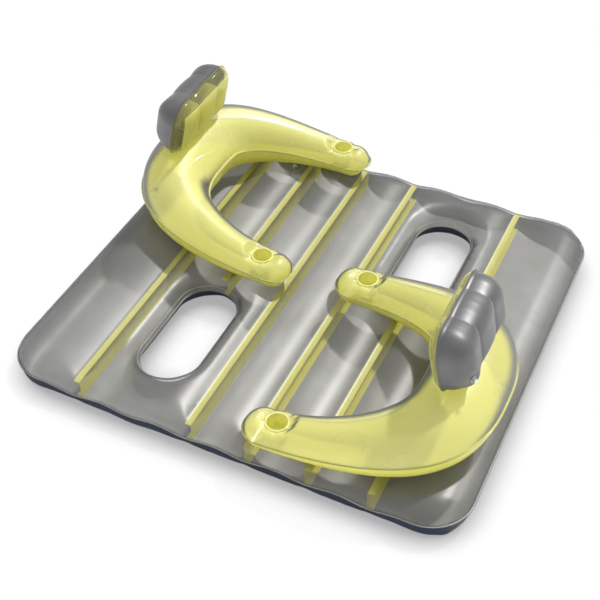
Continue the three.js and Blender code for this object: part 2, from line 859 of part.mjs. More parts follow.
// A strip between the two films along one of the valleys.
function pillowWeb(side, front, back) {
  const column = pillowStepsAcross / 2 + (side * pillowStepsAcross) / 6;
  const shy = filmWall + clearance * 2;
  const low = webEndSteps;
  const high = pillowRowShares.length - 1 - webEndSteps;
  const outline = new THREE.Shape();
  const corner = (surface, row, inset) => {
    const p = surface.points[surface.grid[column][row]];
    return [p.x + inset, p.z];
  };
  outline.moveTo(...corner(back, low, -shy));
  for (let row = low + 1; row <= high; row++) outline.lineTo(...corner(back, row, -shy));
  for (let row = high; row >= low; row--) outline.lineTo(...corner(front, row, shy));
  const y = back.points[back.grid[column][low]].y;
  return new THREE.ExtrudeGeometry(outline, { depth: filmWall, bevelEnabled: false, steps: 1 })
    .translate(0, 0, -filmWall / 2)
    .rotateX(Math.PI / 2)
    .translate(0, y, 0);
}

// The pillow's place on the upper film: its foot is lifted until its lowest point just clears the film.
function pillowPlace(upperFilm) {
  const place = new THREE.Group();
  place.position.set(pillowX, -seatOffset, crestUnder(upperFilm, new THREE.Vector2(pillowX, -seatOffset), 0));
  place.rotation.y = -pillowLean;
  place.updateMatrix();
  const film = upperFilm.clone().applyMatrix4(place.matrix.clone().invert());
  const drop = footLine(film);
  const surface = pillowSurface(1, drop);
  const foot = surface.points.slice(surface.flangeStart, surface.flangeStart + pillowStepsAcross + 1);
  const down = new THREE.Vector3(0, 0, -1);
  let lift = -Infinity;
  for (let k = 0; k < foot.length - 1; k++) {
    for (const share of footShares) {
      const p = foot[k].clone().lerp(foot[k + 1], share);
      for (const x of [-filmStep, 0, filmStep]) {
        const under = hit(film, new THREE.Vector3(x, p.y, pillowHeight), down).point.z;
        lift = Math.max(lift, under + clearance - p.z);
      }
    }
  }
  place.translateZ(lift);
  return { place, drop };
}

function pillow(parent, index, upperFilm) {
  const { place, drop } = pillowPlace(upperFilm);
  parent.add(place);
  const back = pillowSurface(1, drop);
  const front = pillowSurface(-1, drop);
  const from = new THREE.Vector3(4 * pillowBackDepth, -pillowValveShare * pillowWidth, pillowValveHeight);
  const inwards = new THREE.Vector3(-1, 0, 0);
  const backFilm = fitValve(place, `pillow_${index}_valve`, back.geometry, from, inwards);
  piece(place, `pillow_${index}_back_film`, backFilm, silverFilm);
  piece(place, `pillow_${index}_front_film`, front.geometry, clearYellowFilm);
  piece(place, `pillow_${index}_left_web`, pillowWeb(1, front, back), clearYellowFilm);
  piece(place, `pillow_${index}_right_web`, pillowWeb(-1, front, back), clearYellowFilm);
}

// A seat: backrest, cup holders, valve and pillow
function seat(index, turn) {
  const group = new THREE.Group();
  group.rotation.z = turn;
  let upper = tubeFilm(1, upperSteps);
  pillow(group, index, upper);
  cupPlaces().forEach((middle, k) => {
    const crest = crestUnder(upper, middle, cupOuterRadius + cupLipWidth) + clearance;
    const place = new THREE.Group();
    place.position.set(middle.x, middle.y, crest);
    group.add(place);
    piece(place, `cup_holder_${index}_${k === 0 ? "right" : "left"}`, cupSleeve(), clearYellowFilm);
    const tool = rod(cupOuterRadius + clearance, crest - cutOverrun * 2, crest + cutOverrun, cupSteps);
    upper = cut(upper, tool.translate(middle.x, middle.y, 0));
  });
  const valveTurn = turnAtSide(backValveY);
  const middle = planPoint(valveTurn);
  const target = new THREE.Vector3(middle.x, middle.y, seamHeight(tubeHalves(valveTurn).halfHeight));
  const inwards = new THREE.Vector3(-Math.cos(backValveAngle), 0, -Math.sin(backValveAngle));
  const from = target.clone().addScaledVector(inwards, -4 * backHalfWidth);
  const lower = fitValve(group, `backrest_${index}_valve`, tubeFilm(-1, lowerSteps), from, inwards);
  piece(group, `backrest_${index}_upper_film`, upper, smokeFilm);
  piece(group, `backrest_${index}_lower_film`, lower, yellowFilm);
  return group;
}

// The mat with its ribs and its valve, which sits in the wall at the far end
function mat() {
  const group = new THREE.Group();
  const { top, bottom } = matFilms();
  const [low, high] = [1, 2].map((k) => matHeight(matValveX, halfY - rollShares[k] * edgeRoll));
  const height = matSeam - filmStep - (low + high) / 2;
  const from = new THREE.Vector3(matValveX, halfY + cutOverrun * 2, height);
  const cutBottom = fitValve(group, "mat_valve", bottom, from, new THREE.Vector3(0, -1, 0));
  piece(group, "mat_top_film", top, silverFilm);
  piece(group, "mat_bottom_film", cutBottom, navyFilm);
  for (let k = 0; k < ribCount; k++) piece(group, `rib_${k + 1}`, rib(k), yellowFilm);
  return group;
}

const lounger = new THREE.Group();
lounger.add(mat(), seat(1, Math.PI), seat(2, 0));

export default lounger;
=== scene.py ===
"""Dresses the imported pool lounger: inflated films, welds, ribs, cup holders, pillows and finishes.

Metres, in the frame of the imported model. The lounger is the same after half a turn about Z, so a seat is
drawn once, for the back at +X, and its copy is turned.
"""

import json
import logging
import math
from dataclasses import dataclass, field
from enum import Enum
from typing import Callable, Optional

import bpy
import numpy as np
from mathutils import Matrix, Vector
from mathutils.bvhtree import BVHTree

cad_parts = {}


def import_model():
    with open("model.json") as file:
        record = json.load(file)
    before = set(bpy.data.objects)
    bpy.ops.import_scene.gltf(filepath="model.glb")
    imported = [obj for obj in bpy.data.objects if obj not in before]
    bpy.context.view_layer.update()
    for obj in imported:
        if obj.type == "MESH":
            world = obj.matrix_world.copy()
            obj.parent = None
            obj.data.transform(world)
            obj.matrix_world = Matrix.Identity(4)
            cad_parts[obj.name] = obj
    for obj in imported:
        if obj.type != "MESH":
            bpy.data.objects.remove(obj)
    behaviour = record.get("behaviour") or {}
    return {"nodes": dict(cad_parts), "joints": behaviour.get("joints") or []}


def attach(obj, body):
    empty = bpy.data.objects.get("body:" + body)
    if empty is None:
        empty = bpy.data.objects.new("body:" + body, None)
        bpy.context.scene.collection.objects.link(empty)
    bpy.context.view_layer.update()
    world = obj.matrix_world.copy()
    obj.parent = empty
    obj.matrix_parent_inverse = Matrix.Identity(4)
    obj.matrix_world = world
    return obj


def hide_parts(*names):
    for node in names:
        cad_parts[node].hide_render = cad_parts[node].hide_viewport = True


log = logging.getLogger("lounger")

Colour = tuple[float, float, float]
Array = np.ndarray

CLEAR_LAYERS = 40
SQUARE_SHOULDER = 3.6
HOLE_CATCH = 0.94
RIPPLE_WAVES = 5
RIPPLE_LENGTHS = (0.7, 1.9)
RIPPLE_SPREAD = 3
LINE_LIFT = 0.0002


class Side(Enum):
    """Which of two welded films a surface is, as its sign across the seam."""

    UPPER = 1
    LOWER = -1


class Turn(Enum):
    """Which seat a shape is placed for, as the sign of X and Y in its frame."""

    FIRST = -1
    SECOND = 1


# Node trees


def add_node(
    tree: bpy.types.NodeTree, kind: str, inputs: Optional[dict] = None, **settings: object
) -> bpy.types.Node:
    """Adds a node to a tree.

    Args:
        tree: The tree.
        kind: The node's type.
        inputs: For a socket's name or number, its value or the socket that feeds it.
        settings: The node's own settings.

    Returns:
        The node.
    """
    node = tree.nodes.new(kind)
    for name, value in settings.items():
        setattr(node, name, value)
    for key, value in (inputs or {}).items():
        if isinstance(value, bpy.types.NodeSocket):
            tree.links.new(value, node.inputs[key])
        else:
            node.inputs[key].default_value = value
    return node


def new_tree(name: str, kind: str, inputs: dict[str, str], outputs: dict[str, str]) -> bpy.types.NodeTree:
    """Makes a tree with its sockets.

    Args:
        name: The tree's name.
        kind: The tree's type.
        inputs: For each input's name, the last word of its socket type.
        outputs: The same for the outputs.

    Returns:
        The tree.
    """
    tree = bpy.data.node_groups.new(name, kind)
    for in_out, sockets in (("INPUT", inputs), ("OUTPUT", outputs)):
        for label, socket in sockets.items():
            tree.interface.new_socket(label, in_out=in_out, socket_type=f"NodeSocket{socket}")
    return tree


def mixed(
    tree: bpy.types.NodeTree, share: object, first: bpy.types.NodeSocket, second: bpy.types.NodeSocket
) -> bpy.types.NodeSocket:
    """Mixes two shaders by the share of the second, a value or a socket."""
    return add_node(tree, "ShaderNodeMixShader", {0: share, 1: first, 2: second}).outputs["Shader"]


def solve(tree: bpy.types.NodeTree, operation: str, *terms: object) -> bpy.types.NodeSocket:
    """Adds a maths node, whose terms are values or sockets, and returns its result."""
    node = add_node(tree, "ShaderNodeMath", dict(enumerate(terms)), operation=operation)
    return node.outputs["Value"]


def bare_tree(owner: bpy.types.ID) -> bpy.types.NodeTree:
    """Gives a material or a world a node tree with nothing in it."""
    owner.use_nodes = True
    owner.node_tree.nodes.clear()
    return owner.node_tree


def dressed(
    tree: bpy.types.NodeTree, shape: bpy.types.NodeSocket, material: bpy.types.Material
) -> bpy.types.NodeSocket:
    """Ends a geometry tree with Realize Instances and Set Material and returns what comes out."""
    real = add_node(tree, "GeometryNodeRealizeInstances", {"Geometry": shape})
    inputs = {"Geometry": real.outputs["Geometry"], "Material": material}
    return add_node(tree, "GeometryNodeSetMaterial", inputs).outputs["Geometry"]


def noise(
    tree: bpy.types.NodeTree, given: bpy.types.NodeOutputs, scale: str, detail: float
) -> bpy.types.NodeSocket:
    """Adds a noise at the group's own Vector and at the scale of that name; returns its value."""
    inputs = {"Detail": detail, "Vector": given["Vector"], "Scale": given[scale]}
    return add_node(tree, "ShaderNodeTexNoise", inputs).outputs["Fac"]


# Finishes


@dataclass(frozen=True)
class NoiseRelief:
    """Shared node group: soft waves and fine unevenness of a film, as a height."""

    name: str = "film_relief"
    wave_detail: float = 1.0
    fine_detail: float = 2.0

    def group(self) -> bpy.types.NodeTree:
        """Builds the group once.

        Returns:
            The node group, with inputs Vector, Wave Scale, Fine Scale and Fine Share, and output Height.
        """
        found = bpy.data.node_groups.get(self.name)
        if found:
            return found
        sockets = {"Vector": "Vector", "Wave Scale": "Float", "Fine Scale": "Float", "Fine Share": "Float"}
        tree = new_tree(self.name, "ShaderNodeTree", sockets, {"Height": "Float"})
        given = tree.nodes.new("NodeGroupInput").outputs
        wave = noise(tree, given, "Wave Scale", self.wave_detail)
        fine = noise(tree, given, "Fine Scale", self.fine_detail)
        blend = add_node(tree, "ShaderNodeMix", {"Factor": given["Fine Share"], "A": wave, "B": fine})
        add_node(tree, "NodeGroupOutput", {"Height": blend.outputs["Result"]})
        return tree


@dataclass(frozen=True)
class PigmentCloud:
    """Shared node group: two near colours that drift into each other, and a roughness that goes along."""

    name: str = "pigment_cloud"
    detail: float = 3.0
    spread: tuple[float, float] = (0.3, 0.7)

    def group(self) -> bpy.types.NodeTree:
        """Builds the group once.

        Returns:
            The node group, with inputs Vector, Scale, Light, Dark, Smooth and Rough, and outputs Colour and
            Roughness.
        """
        found = bpy.data.node_groups.get(self.name)
        if found:
            return found
        sockets = {"Vector": "Vector", "Scale": "Float", "Light": "Color", "Dark": "Color"}
        sockets |= {"Smooth": "Float", "Rough": "Float"}
        tree = new_tree(self.name, "ShaderNodeTree", sockets, {"Colour": "Color", "Roughness": "Float"})
        given = tree.nodes.new("NodeGroupInput").outputs
        low, high = self.spread
        cloud = noise(tree, given, "Scale", self.detail)
        ramp = {"From Min": low, "From Max": high, "Value": cloud}
        share = add_node(tree, "ShaderNodeMapRange", ramp).outputs["Result"]
        drift = {"Factor": share, "A": given["Light"], "B": given["Dark"]}
        colour = add_node(tree, "ShaderNodeMix", drift, data_type="RGBA").outputs["Result"]
        drift = {"Factor": share, "A": given["Smooth"], "B": given["Rough"]}
        rough = add_node(tree, "ShaderNodeMix", drift).outputs["Result"]
        add_node(tree, "NodeGroupOutput", {"Colour": colour, "Roughness": rough})
        return tree


@dataclass(frozen=True)
class FilmFinish:
    """A welded vinyl film: pigment, what it lets through, and its gloss.

    Opacity and tint are for one face of the film's wall; a look through the film passes two. The edge is the
    smoke that shows where sight runs a long way in the wall. Shine is the gloss seen straight on and the
    growth of it towards grazing sight.
    """

    name: str
    light: Colour
    dark: Colour
    opacity: float = 1.0
    tint: Colour = (1.0, 1.0, 1.0)
    edge: Optional[Colour] = None
    edge_opacity: float = 0.0
    edge_range: tuple[float, float] = (0.45, 0.76)
    edge_roughness: float = 0.4
    edge_index: float = 1.2
    index: float = 1.5
    metallic: float = 0.0
    roughness: tuple[float, float] = (0.25, 0.35)
    translucency: float = 0.0
    gloss_roughness: float = 0.12
    gloss: float = 1.0
    shine: tuple[float, float] = (0.04, 0.3)
    shine_power: float = 5.0
    cloud_scale: float = 6.0
    wave_scale: float = 10.0
    fine_scale: float = 120.0
    fine_share: float = 0.08
    relief: float = 0.0004

    def material(self) -> bpy.types.Material:
        """Builds the material once.

        Returns:
            The finished material.
        """
        found = bpy.data.materials.get(self.name)
        if found:
            return found
        made = bpy.data.materials.new(self.name)
        tree = bare_tree(made)
        place = tree.nodes.new("ShaderNodeTexCoord").outputs["Object"]
        normal = self._relief(tree, place)
        body = self._pigment(tree, place, normal)
        if self.translucency > 0:
            glow = add_node(tree, "ShaderNodeBsdfTranslucent", {"Color": (*self.light, 1.0)})
            body = mixed(tree, self.translucency, body, glow.outputs["BSDF"])
        if self.opacity < 1:
            clear = add_node(tree, "ShaderNodeBsdfTransparent", {"Color": (*self.tint, 1.0)})
            body = mixed(tree, self.opacity, clear.outputs["BSDF"], body)
            if self.edge:
                body = self._close_edge(tree, normal, body)
            body = self._shine(tree, normal, body)
        add_node(tree, "ShaderNodeOutputMaterial", {"Surface": body})
        return made

    def _relief(self, tree: bpy.types.NodeTree, place: bpy.types.NodeSocket) -> bpy.types.NodeSocket:
        """Adds the film's unevenness as a bump and returns its normal."""
        scales = {"Wave Scale": self.wave_scale, "Fine Scale": self.fine_scale, "Fine Share": self.fine_share}
        group = NoiseRelief().group()
        relief = add_node(tree, "ShaderNodeGroup", {"Vector": place, **scales}, node_tree=group)
        bump = {"Distance": self.relief, "Height": relief.outputs["Height"]}
        return add_node(tree, "ShaderNodeBump", bump).outputs["Normal"]

    def _pigment(
        self, tree: bpy.types.NodeTree, place: bpy.types.NodeSocket, normal: bpy.types.NodeSocket
    ) -> bpy.types.NodeSocket:
        """Adds the film's own colour as a Principled shader and returns it."""
        tones = {"Light": (*self.light, 1.0), "Dark": (*self.dark, 1.0), "Scale": self.cloud_scale}
        smooth, rough = self.roughness
        inputs = {"Vector": place, **tones, "Smooth": smooth, "Rough": rough}
        cloud = add_node(tree, "ShaderNodeGroup", inputs, node_tree=PigmentCloud().group()).outputs
        surface = {"Base Color": cloud["Colour"], "Roughness": cloud["Roughness"], "Normal": normal}
        surface |= {"Metallic": self.metallic, "IOR": self.index}
        return add_node(tree, "ShaderNodeBsdfPrincipled", surface).outputs["BSDF"]

    def _close_edge(
        self, tree: bpy.types.NodeTree, normal: bpy.types.NodeSocket, body: bpy.types.NodeSocket
    ) -> bpy.types.NodeSocket:
        """Adds the smoke at grazing sight and returns the mix."""
        facing = tree.nodes.new("ShaderNodeLayerWeight").outputs["Facing"]
        low, high = self.edge_range
        ramp = {"Value": facing, "From Min": low, "From Max": high, "To Max": self.edge_opacity}
        share = add_node(tree, "ShaderNodeMapRange", ramp, interpolation_type="SMOOTHSTEP").outputs["Result"]
        surface = {"Base Color": (*self.edge, 1.0), "Normal": normal}
        surface |= {"Roughness": self.edge_roughness, "IOR": self.edge_index}
        smoke = add_node(tree, "ShaderNodeBsdfPrincipled", surface).outputs["BSDF"]
        return mixed(tree, share, body, smoke)

    def _shine(
        self, tree: bpy.types.NodeTree, normal: bpy.types.NodeSocket, body: bpy.types.NodeSocket
    ) -> bpy.types.NodeSocket:
        """Adds the reflection of a see-through film, which grows towards grazing sight; returns the mix."""
        facing = tree.nodes.new("ShaderNodeLayerWeight").outputs["Facing"]
        straight, grazing = (share * self.gloss for share in self.shine)
        share = solve(tree, "MULTIPLY_ADD", solve(tree, "POWER", facing, self.shine_power), grazing, straight)
        gloss = {"Roughness": self.gloss_roughness, "Normal": normal}
        return mixed(tree, share, body, add_node(tree, "ShaderNodeBsdfAnisotropic", gloss).outputs["BSDF"])


@dataclass(frozen=True)
class Finishes:
    """Every film and plastic of the lounger."""

    # The mat's clear top film. Its pale haze is partly the film's own haze and partly a painted sheen that
    # brightens the mat.
    smoke: FilmFinish = FilmFinish(
        "mat_top_face_haze_and_painted_sheen",
        (0.46, 0.46, 0.49),
        (0.32, 0.32, 0.33),
        opacity=0.09,
        edge=(0.05, 0.055, 0.075),
        edge_opacity=0.5,
        tint=(0.97, 0.97, 0.96),
        roughness=(0.4, 0.5),
        gloss_roughness=0.4,
        gloss=0.9,
    )
    # The tube's clear upper film. Its pale yellow pigment is a painted glow: it stands in for yellow light
    # bounced inside the tube and lightens the shade on the yellow film below.
    clear: FilmFinish = FilmFinish(
        "tube_top_face_painted_glow",
        (0.97, 0.95, 0.4),
        (0.95, 0.93, 0.34),
        opacity=0.28,
        edge=(0.055, 0.06, 0.075),
        edge_opacity=0.85,
        tint=(0.99, 0.99, 0.97),
        translucency=0.1,
        gloss_roughness=0.5,
        gloss=0.9,
    )
    silver: FilmFinish = FilmFinish(
        "silver_inner_face",
        (0.25, 0.247, 0.262),
        (0.185, 0.185, 0.168),
        metallic=0.2,
        roughness=(0.5, 0.58),
        cloud_scale=5.0,
        relief=0.0003,
    )
    navy: FilmFinish = FilmFinish(
        "navy_outer_face", (0.028, 0.037, 0.066), (0.02, 0.027, 0.05), index=1.2, roughness=(0.35, 0.45)
    )
    graphite: FilmFinish = FilmFinish(
        "graphite_pillow_film",
        (0.155, 0.155, 0.158),
        (0.115, 0.115, 0.118),
        metallic=0.5,
        roughness=(0.4, 0.46),
        cloud_scale=9.0,
    )
    yellow: FilmFinish = FilmFinish(
        "tube_bottom_face",
        (0.96, 0.94, 0.22),
        (0.94, 0.91, 0.19),
        opacity=0.95,
        tint=(0.95, 0.93, 0.35),
        translucency=0.2,
    )
    rib: FilmFinish = FilmFinish(
        "yellow_rib_film",
        (0.96, 0.93, 0.22),
        (0.93, 0.9, 0.19),
        opacity=0.92,
        tint=(0.95, 0.93, 0.35),
        translucency=0.4,
    )
    cup: FilmFinish = FilmFinish(
        "cup_film",
        (0.97, 0.96, 0.5),
        (0.95, 0.94, 0.42),
        opacity=0.85,
        tint=(0.96, 0.95, 0.5),
        translucency=0.5,
    )
    panel: FilmFinish = FilmFinish(
        "pillow_panel_film",
        (0.95, 0.93, 0.26),
        (0.91, 0.89, 0.22),
        opacity=0.74,
        tint=(0.96, 0.95, 0.6),
        translucency=0.4,
    )
    clear_yellow: FilmFinish = FilmFinish(
        "pillow_edge_face",
        (0.85, 0.84, 0.4),
        (0.8, 0.79, 0.36),
        opacity=0.1,
        edge=(0.55, 0.54, 0.24),
        edge_opacity=0.5,
        tint=(0.98, 0.98, 0.9),
        translucency=0.3,
    )
    weld: FilmFinish = FilmFinish(
        "pale_weld", (0.76, 0.77, 0.74), (0.64, 0.65, 0.62), opacity=0.7, tint=(0.9, 0.9, 0.85)
    )
    vinyl: FilmFinish = FilmFinish(
        "clear_valve_vinyl",
        (0.6, 0.62, 0.58),
        (0.54, 0.56, 0.52),
        opacity=0.35,
        tint=(0.95, 0.95, 0.9),
        gloss_roughness=0.4,
        gloss=0.5,
    )
    plug: FilmFinish = FilmFinish("frosted_plug", (0.84, 0.85, 0.84), (0.78, 0.79, 0.78))


# Meshes


@dataclass
class Surface:
    """An open surface of quads and triangles."""

    points: Array
    quads: Array
    tris: Array = field(default_factory=lambda: np.zeros((0, 3), int))

    def facing(self, direction: tuple[float, float, float]) -> "Surface":
        """Turns all faces round if they look away from a direction.

        Args:
            direction: Where the faces should look on the whole.

        Returns:
            The surface itself.
        """
        total = self._face_normals(self.quads[:, :3]).sum(0)
        if total @ np.array(direction) < 0:
            self.quads = self.quads[:, ::-1]
            self.tris = self.tris[:, ::-1]
        return self

    def _face_normals(self, corners: Array) -> Array:
        """Cross products of the faces' first two edges."""
        a, b, c = (self.points[corners[:, k]] for k in range(3))
        return np.cross(b - a, c - a)

    def normals(self) -> Array:
        """Unit normals at the points."""
        total = np.zeros_like(self.points)
        across = np.cross(
            self.points[self.quads[:, 2]] - self.points[self.quads[:, 0]],
            self.points[self.quads[:, 3]] - self.points[self.quads[:, 1]],
        )
        for k in range(4):
            np.add.at(total, self.quads[:, k], across)
        if len(self.tris):
            flat = self._face_normals(self.tris)
            for k in range(3):
                np.add.at(total, self.tris[:, k], flat)
        length = np.linalg.norm(total, axis=1, keepdims=True)
        return total / np.maximum(length, 1e-12)

    def pierced(self, at: Vector, along: Vector, radius: float, depth: float = 0.03) -> "Surface":
        """Opens a round hole: the faces inside go and the edge that is left is drawn to the circle.

        Args:
            at: A point on the hole's axis, at the surface.
            along: The axis.
            radius: The hole's radius.
            depth: How far from the point, along the axis, the hole reaches.

        Returns:
            The surface with its hole.
        """
        centre, axis = np.array(at), np.array(along.normalized())
        offset = (self.points - centre) @ axis
        radial = self.points - centre - offset[:, None] * axis
        away = np.linalg.norm(radial, axis=1)
        inside = (away < radius * HOLE_CATCH) & (np.abs(offset) < depth)
        lost = inside[self.quads].any(1)
        border = np.intersect1d(self.quads[lost], self.quads[~lost])
        points = self.points.copy()
        points[border] += radial[border] * (radius / away[border] - 1)[:, None]
        tris = self.tris[~inside[self.tris].any(1)]
        return Surface(points, self.quads[~lost], tris)

    def trimmed(self) -> "Surface":
        """Drops the points that no face uses."""
        used = np.unique(np.concatenate([self.quads.ravel(), self.tris.ravel()]))
        place = np.full(len(self.points), -1)
        place[used] = np.arange(len(used))
        return Surface(self.points[used], place[self.quads], place[self.tris])


class Workshop:
    """Turns surfaces, lists of faces and geometry trees into Blender objects."""

    film_wall = 0.0006

    @staticmethod
    def link(name: str, data: bpy.types.ID) -> bpy.types.Object:
        """Adds a mesh, a lamp or a camera to the scene as an object at the origin."""
        made = bpy.data.objects.new(name, data)
        bpy.context.scene.collection.objects.link(made)
        return made

    def shell(
        self, name: str, surface: Surface, outside: FilmFinish, inside: Optional[FilmFinish] = None
    ) -> bpy.types.Object:
        """Gives an open surface a wall on its inner side and closes its edges.

        Args:
            name: The piece's name.
            surface: The film's outer face.
            outside: Finish of the outer face.
            inside: Finish of the inner face, where it differs.

        Returns:
            The closed film as an object.
        """
        surface = surface.trimmed()
        count = len(surface.points)
        inner = surface.points - surface.normals() * self.film_wall
        edges = np.concatenate(
            [surface.quads[:, [k, (k + 1) % 4]] for k in range(4)]
            + [surface.tris[:, [k, (k + 1) % 3]] for k in range(3)]
        )
        forward = edges[:, 0] * count + edges[:, 1]
        back = edges[:, 1] * count + edges[:, 0]
        rim = edges[~np.isin(forward, back)]
        quads = np.concatenate(
            [
                surface.quads,
                surface.quads[:, ::-1] + count,
                np.stack([rim[:, 1], rim[:, 0], rim[:, 0] + count, rim[:, 1] + count], axis=1),
            ]
        )
        tris = np.concatenate([surface.tris, surface.tris[:, ::-1] + count])
        mesh = bpy.data.meshes.new(name)
        points = np.concatenate([surface.points, inner])
        mesh.from_pydata(points.tolist(), [], quads.tolist() + tris.tolist())
        mesh.materials.append(outside.material())
        if inside:
            mesh.materials.append(inside.material())
            index = np.zeros(len(mesh.polygons), np.int32)
            index[len(surface.quads) : 2 * len(surface.quads)] = 1
            index[len(quads) + len(surface.tris) :] = 1
            mesh.polygons.foreach_set("material_index", index)
        mesh.shade_smooth()
        mesh.update()
        return self.link(name, mesh)

    def solid(self, name: str, points: Array, faces: list, finish: FilmFinish) -> bpy.types.Object:
        """Makes an object of a closed list of faces."""
        mesh = bpy.data.meshes.new(name)
        mesh.from_pydata(np.asarray(points).tolist(), [], faces)
        mesh.materials.append(finish.material())
        mesh.shade_smooth()
        return self.link(name, mesh)

    def shaped(
        self, piece: bpy.types.Object, tree: bpy.types.NodeTree, sizes: dict[str, float]
    ) -> bpy.types.Object:
        """Runs a geometry tree on a piece and keeps the result as its plain mesh.

        Args:
            piece: The object that holds the tree's line or section.
            tree: The tree.
            sizes: The tree's inputs by name.

        Returns:
            The piece, without the modifier.
        """
        modifier = piece.modifiers.new(tree.name, "NODES")
        modifier.node_group = tree
        for item in tree.interface.items_tree:
            if item.in_out == "INPUT" and item.name in sizes:
                modifier[item.identifier] = sizes[item.name]
        graph = bpy.context.evaluated_depsgraph_get()
        made = bpy.data.meshes.new_from_object(piece.evaluated_get(graph))
        piece.modifiers.clear()
        piece.data = made
        return piece


def grid_quads(grid: Array) -> Array:
    """Quads between the neighbours in a table of point numbers."""
    return np.stack([grid[:-1, :-1], grid[1:, :-1], grid[1:, 1:], grid[:-1, 1:]], axis=-1).reshape(-1, 4)


def around(table: Array) -> Array:
    """A table of point numbers with its first column again at the end, for rows that close."""
    return np.concatenate([table, table[:, :1]], axis=1)


def edge_loop(grid: Array) -> Array:
    """Point numbers round the edge of a grid, in order."""
    return np.concatenate([grid[:-1, 0], grid[-1, :-1], grid[:0:-1, -1], grid[0, :0:-1]])


def roll(distance: Array, depth: Array) -> Array:
    """Rise of an inflated roll at a distance from its seam, from 0 on the seam to 1."""
    left = 1 - np.clip(distance / depth, 0, 1)
    return np.sqrt(np.maximum(1 - left * left, 0))


def full_roll(distance: Array, depth: Array) -> Array:
    """A roll with a squarer shoulder, for the film that the mat rests on."""
    left = 1 - np.clip(distance / depth, 0, 1)
    return np.maximum(1 - left**SQUARE_SHOULDER, 0) ** (1 / SQUARE_SHOULDER)


def ease(value: Array) -> Array:
    """A smooth step from 0 to 1."""
    t = np.clip(value, 0, 1)
    return t * t * (3 - 2 * t)


def ripple(along: Array, length: float, seed: int) -> Array:
    """Irregular waves along a seam.

    Args:
        along: Place along the seam.
        length: The usual wavelength.
        seed: Picks the waves.

    Returns:
        Heights between about -1 and 1.
    """
    source = np.random.default_rng(seed)
    total = np.zeros_like(along)
    for _ in range(RIPPLE_WAVES):
        wave = length * source.uniform(*RIPPLE_LENGTHS)
        total += np.sin(2 * math.pi * along / wave + source.uniform(0, 2 * math.pi))
    return total / RIPPLE_SPREAD


def round_corner(x: Array, y: Array, half_x: float, half_y: float, radius: float) -> tuple[Array, Array]:
    """Rounds the corners of a rectangle: the square at each corner becomes a quarter disc."""
    a = (np.abs(x) - (half_x - radius)) / radius
    b = (np.abs(y) - (half_y - radius)) / radius
    corner = (a > 0) & (b > 0)
    a0, b0 = np.clip(a, 0, 1), np.clip(b, 0, 1)
    round_x = half_x - radius + radius * a0 * np.sqrt(1 - b0 * b0 / 2)
    round_y = half_y - radius + radius * b0 * np.sqrt(1 - a0 * a0 / 2)
    return np.where(corner, np.sign(x) * round_x, x), np.where(corner, np.sign(y) * round_y, y)


@dataclass
class Welds:
    """Thin weld beads that follow a line on a film, swept by geometry nodes."""

    workshop: Workshop
    radius: float = 0.0007
    facets: int = 6

    def tree(self, finish: FilmFinish) -> bpy.types.NodeTree:
        """Builds the bead's node tree once for each finish.

        Args:
            finish: The finish that the tree sets.

        Returns:
            The tree, with inputs Line, Radius and Facets.
        """
        name = f"weld_bead_{finish.name}"
        found = bpy.data.node_groups.get(name)
        if found:
            return found
        sockets = {"Line": "Geometry", "Radius": "Float", "Facets": "Int"}
        tree = new_tree(name, "GeometryNodeTree", sockets, {"Bead": "Geometry"})
        given = tree.nodes.new("NodeGroupInput").outputs
        path = add_node(tree, "GeometryNodeMeshToCurve", {"Mesh": given["Line"]})
        round_section = {"Resolution": given["Facets"], "Radius": given["Radius"]}
        circle = add_node(tree, "GeometryNodeCurvePrimitiveCircle", round_section)
        curves = {"Curve": path.outputs["Curve"], "Profile Curve": circle.outputs["Curve"]}
        swept = add_node(tree, "GeometryNodeCurveToMesh", {"Fill Caps": True, **curves}).outputs["Mesh"]
        smooth = add_node(tree, "GeometryNodeSetShadeSmooth", {"Geometry": swept}).outputs["Geometry"]
        add_node(tree, "NodeGroupOutput", {"Bead": dressed(tree, smooth, finish.material())})
        return tree

    def bead(
        self, name: str, line: Array, closed: bool, finish: FilmFinish, radius: Optional[float] = None
    ) -> bpy.types.Object:
        """Sweeps a bead along a line of points.

        Args:
            name: The piece's name.
            line: Points of the line.
            closed: Whether the line runs back to its start.
            finish: The bead's finish.
            radius: The bead's radius, where it isn't the usual one.

        Returns:
            The bead as a plain mesh object.
        """
        count = len(line)
        edges = [(k, k + 1) for k in range(count - 1)] + ([(count - 1, 0)] if closed else [])
        mesh = bpy.data.meshes.new(name)
        mesh.from_pydata(np.asarray(line).tolist(), edges, [])
        sizes = {"Radius": radius or self.radius, "Facets": self.facets}
        return self.workshop.shaped(self.workshop.link(name, mesh), self.tree(finish), sizes)


# Air mat


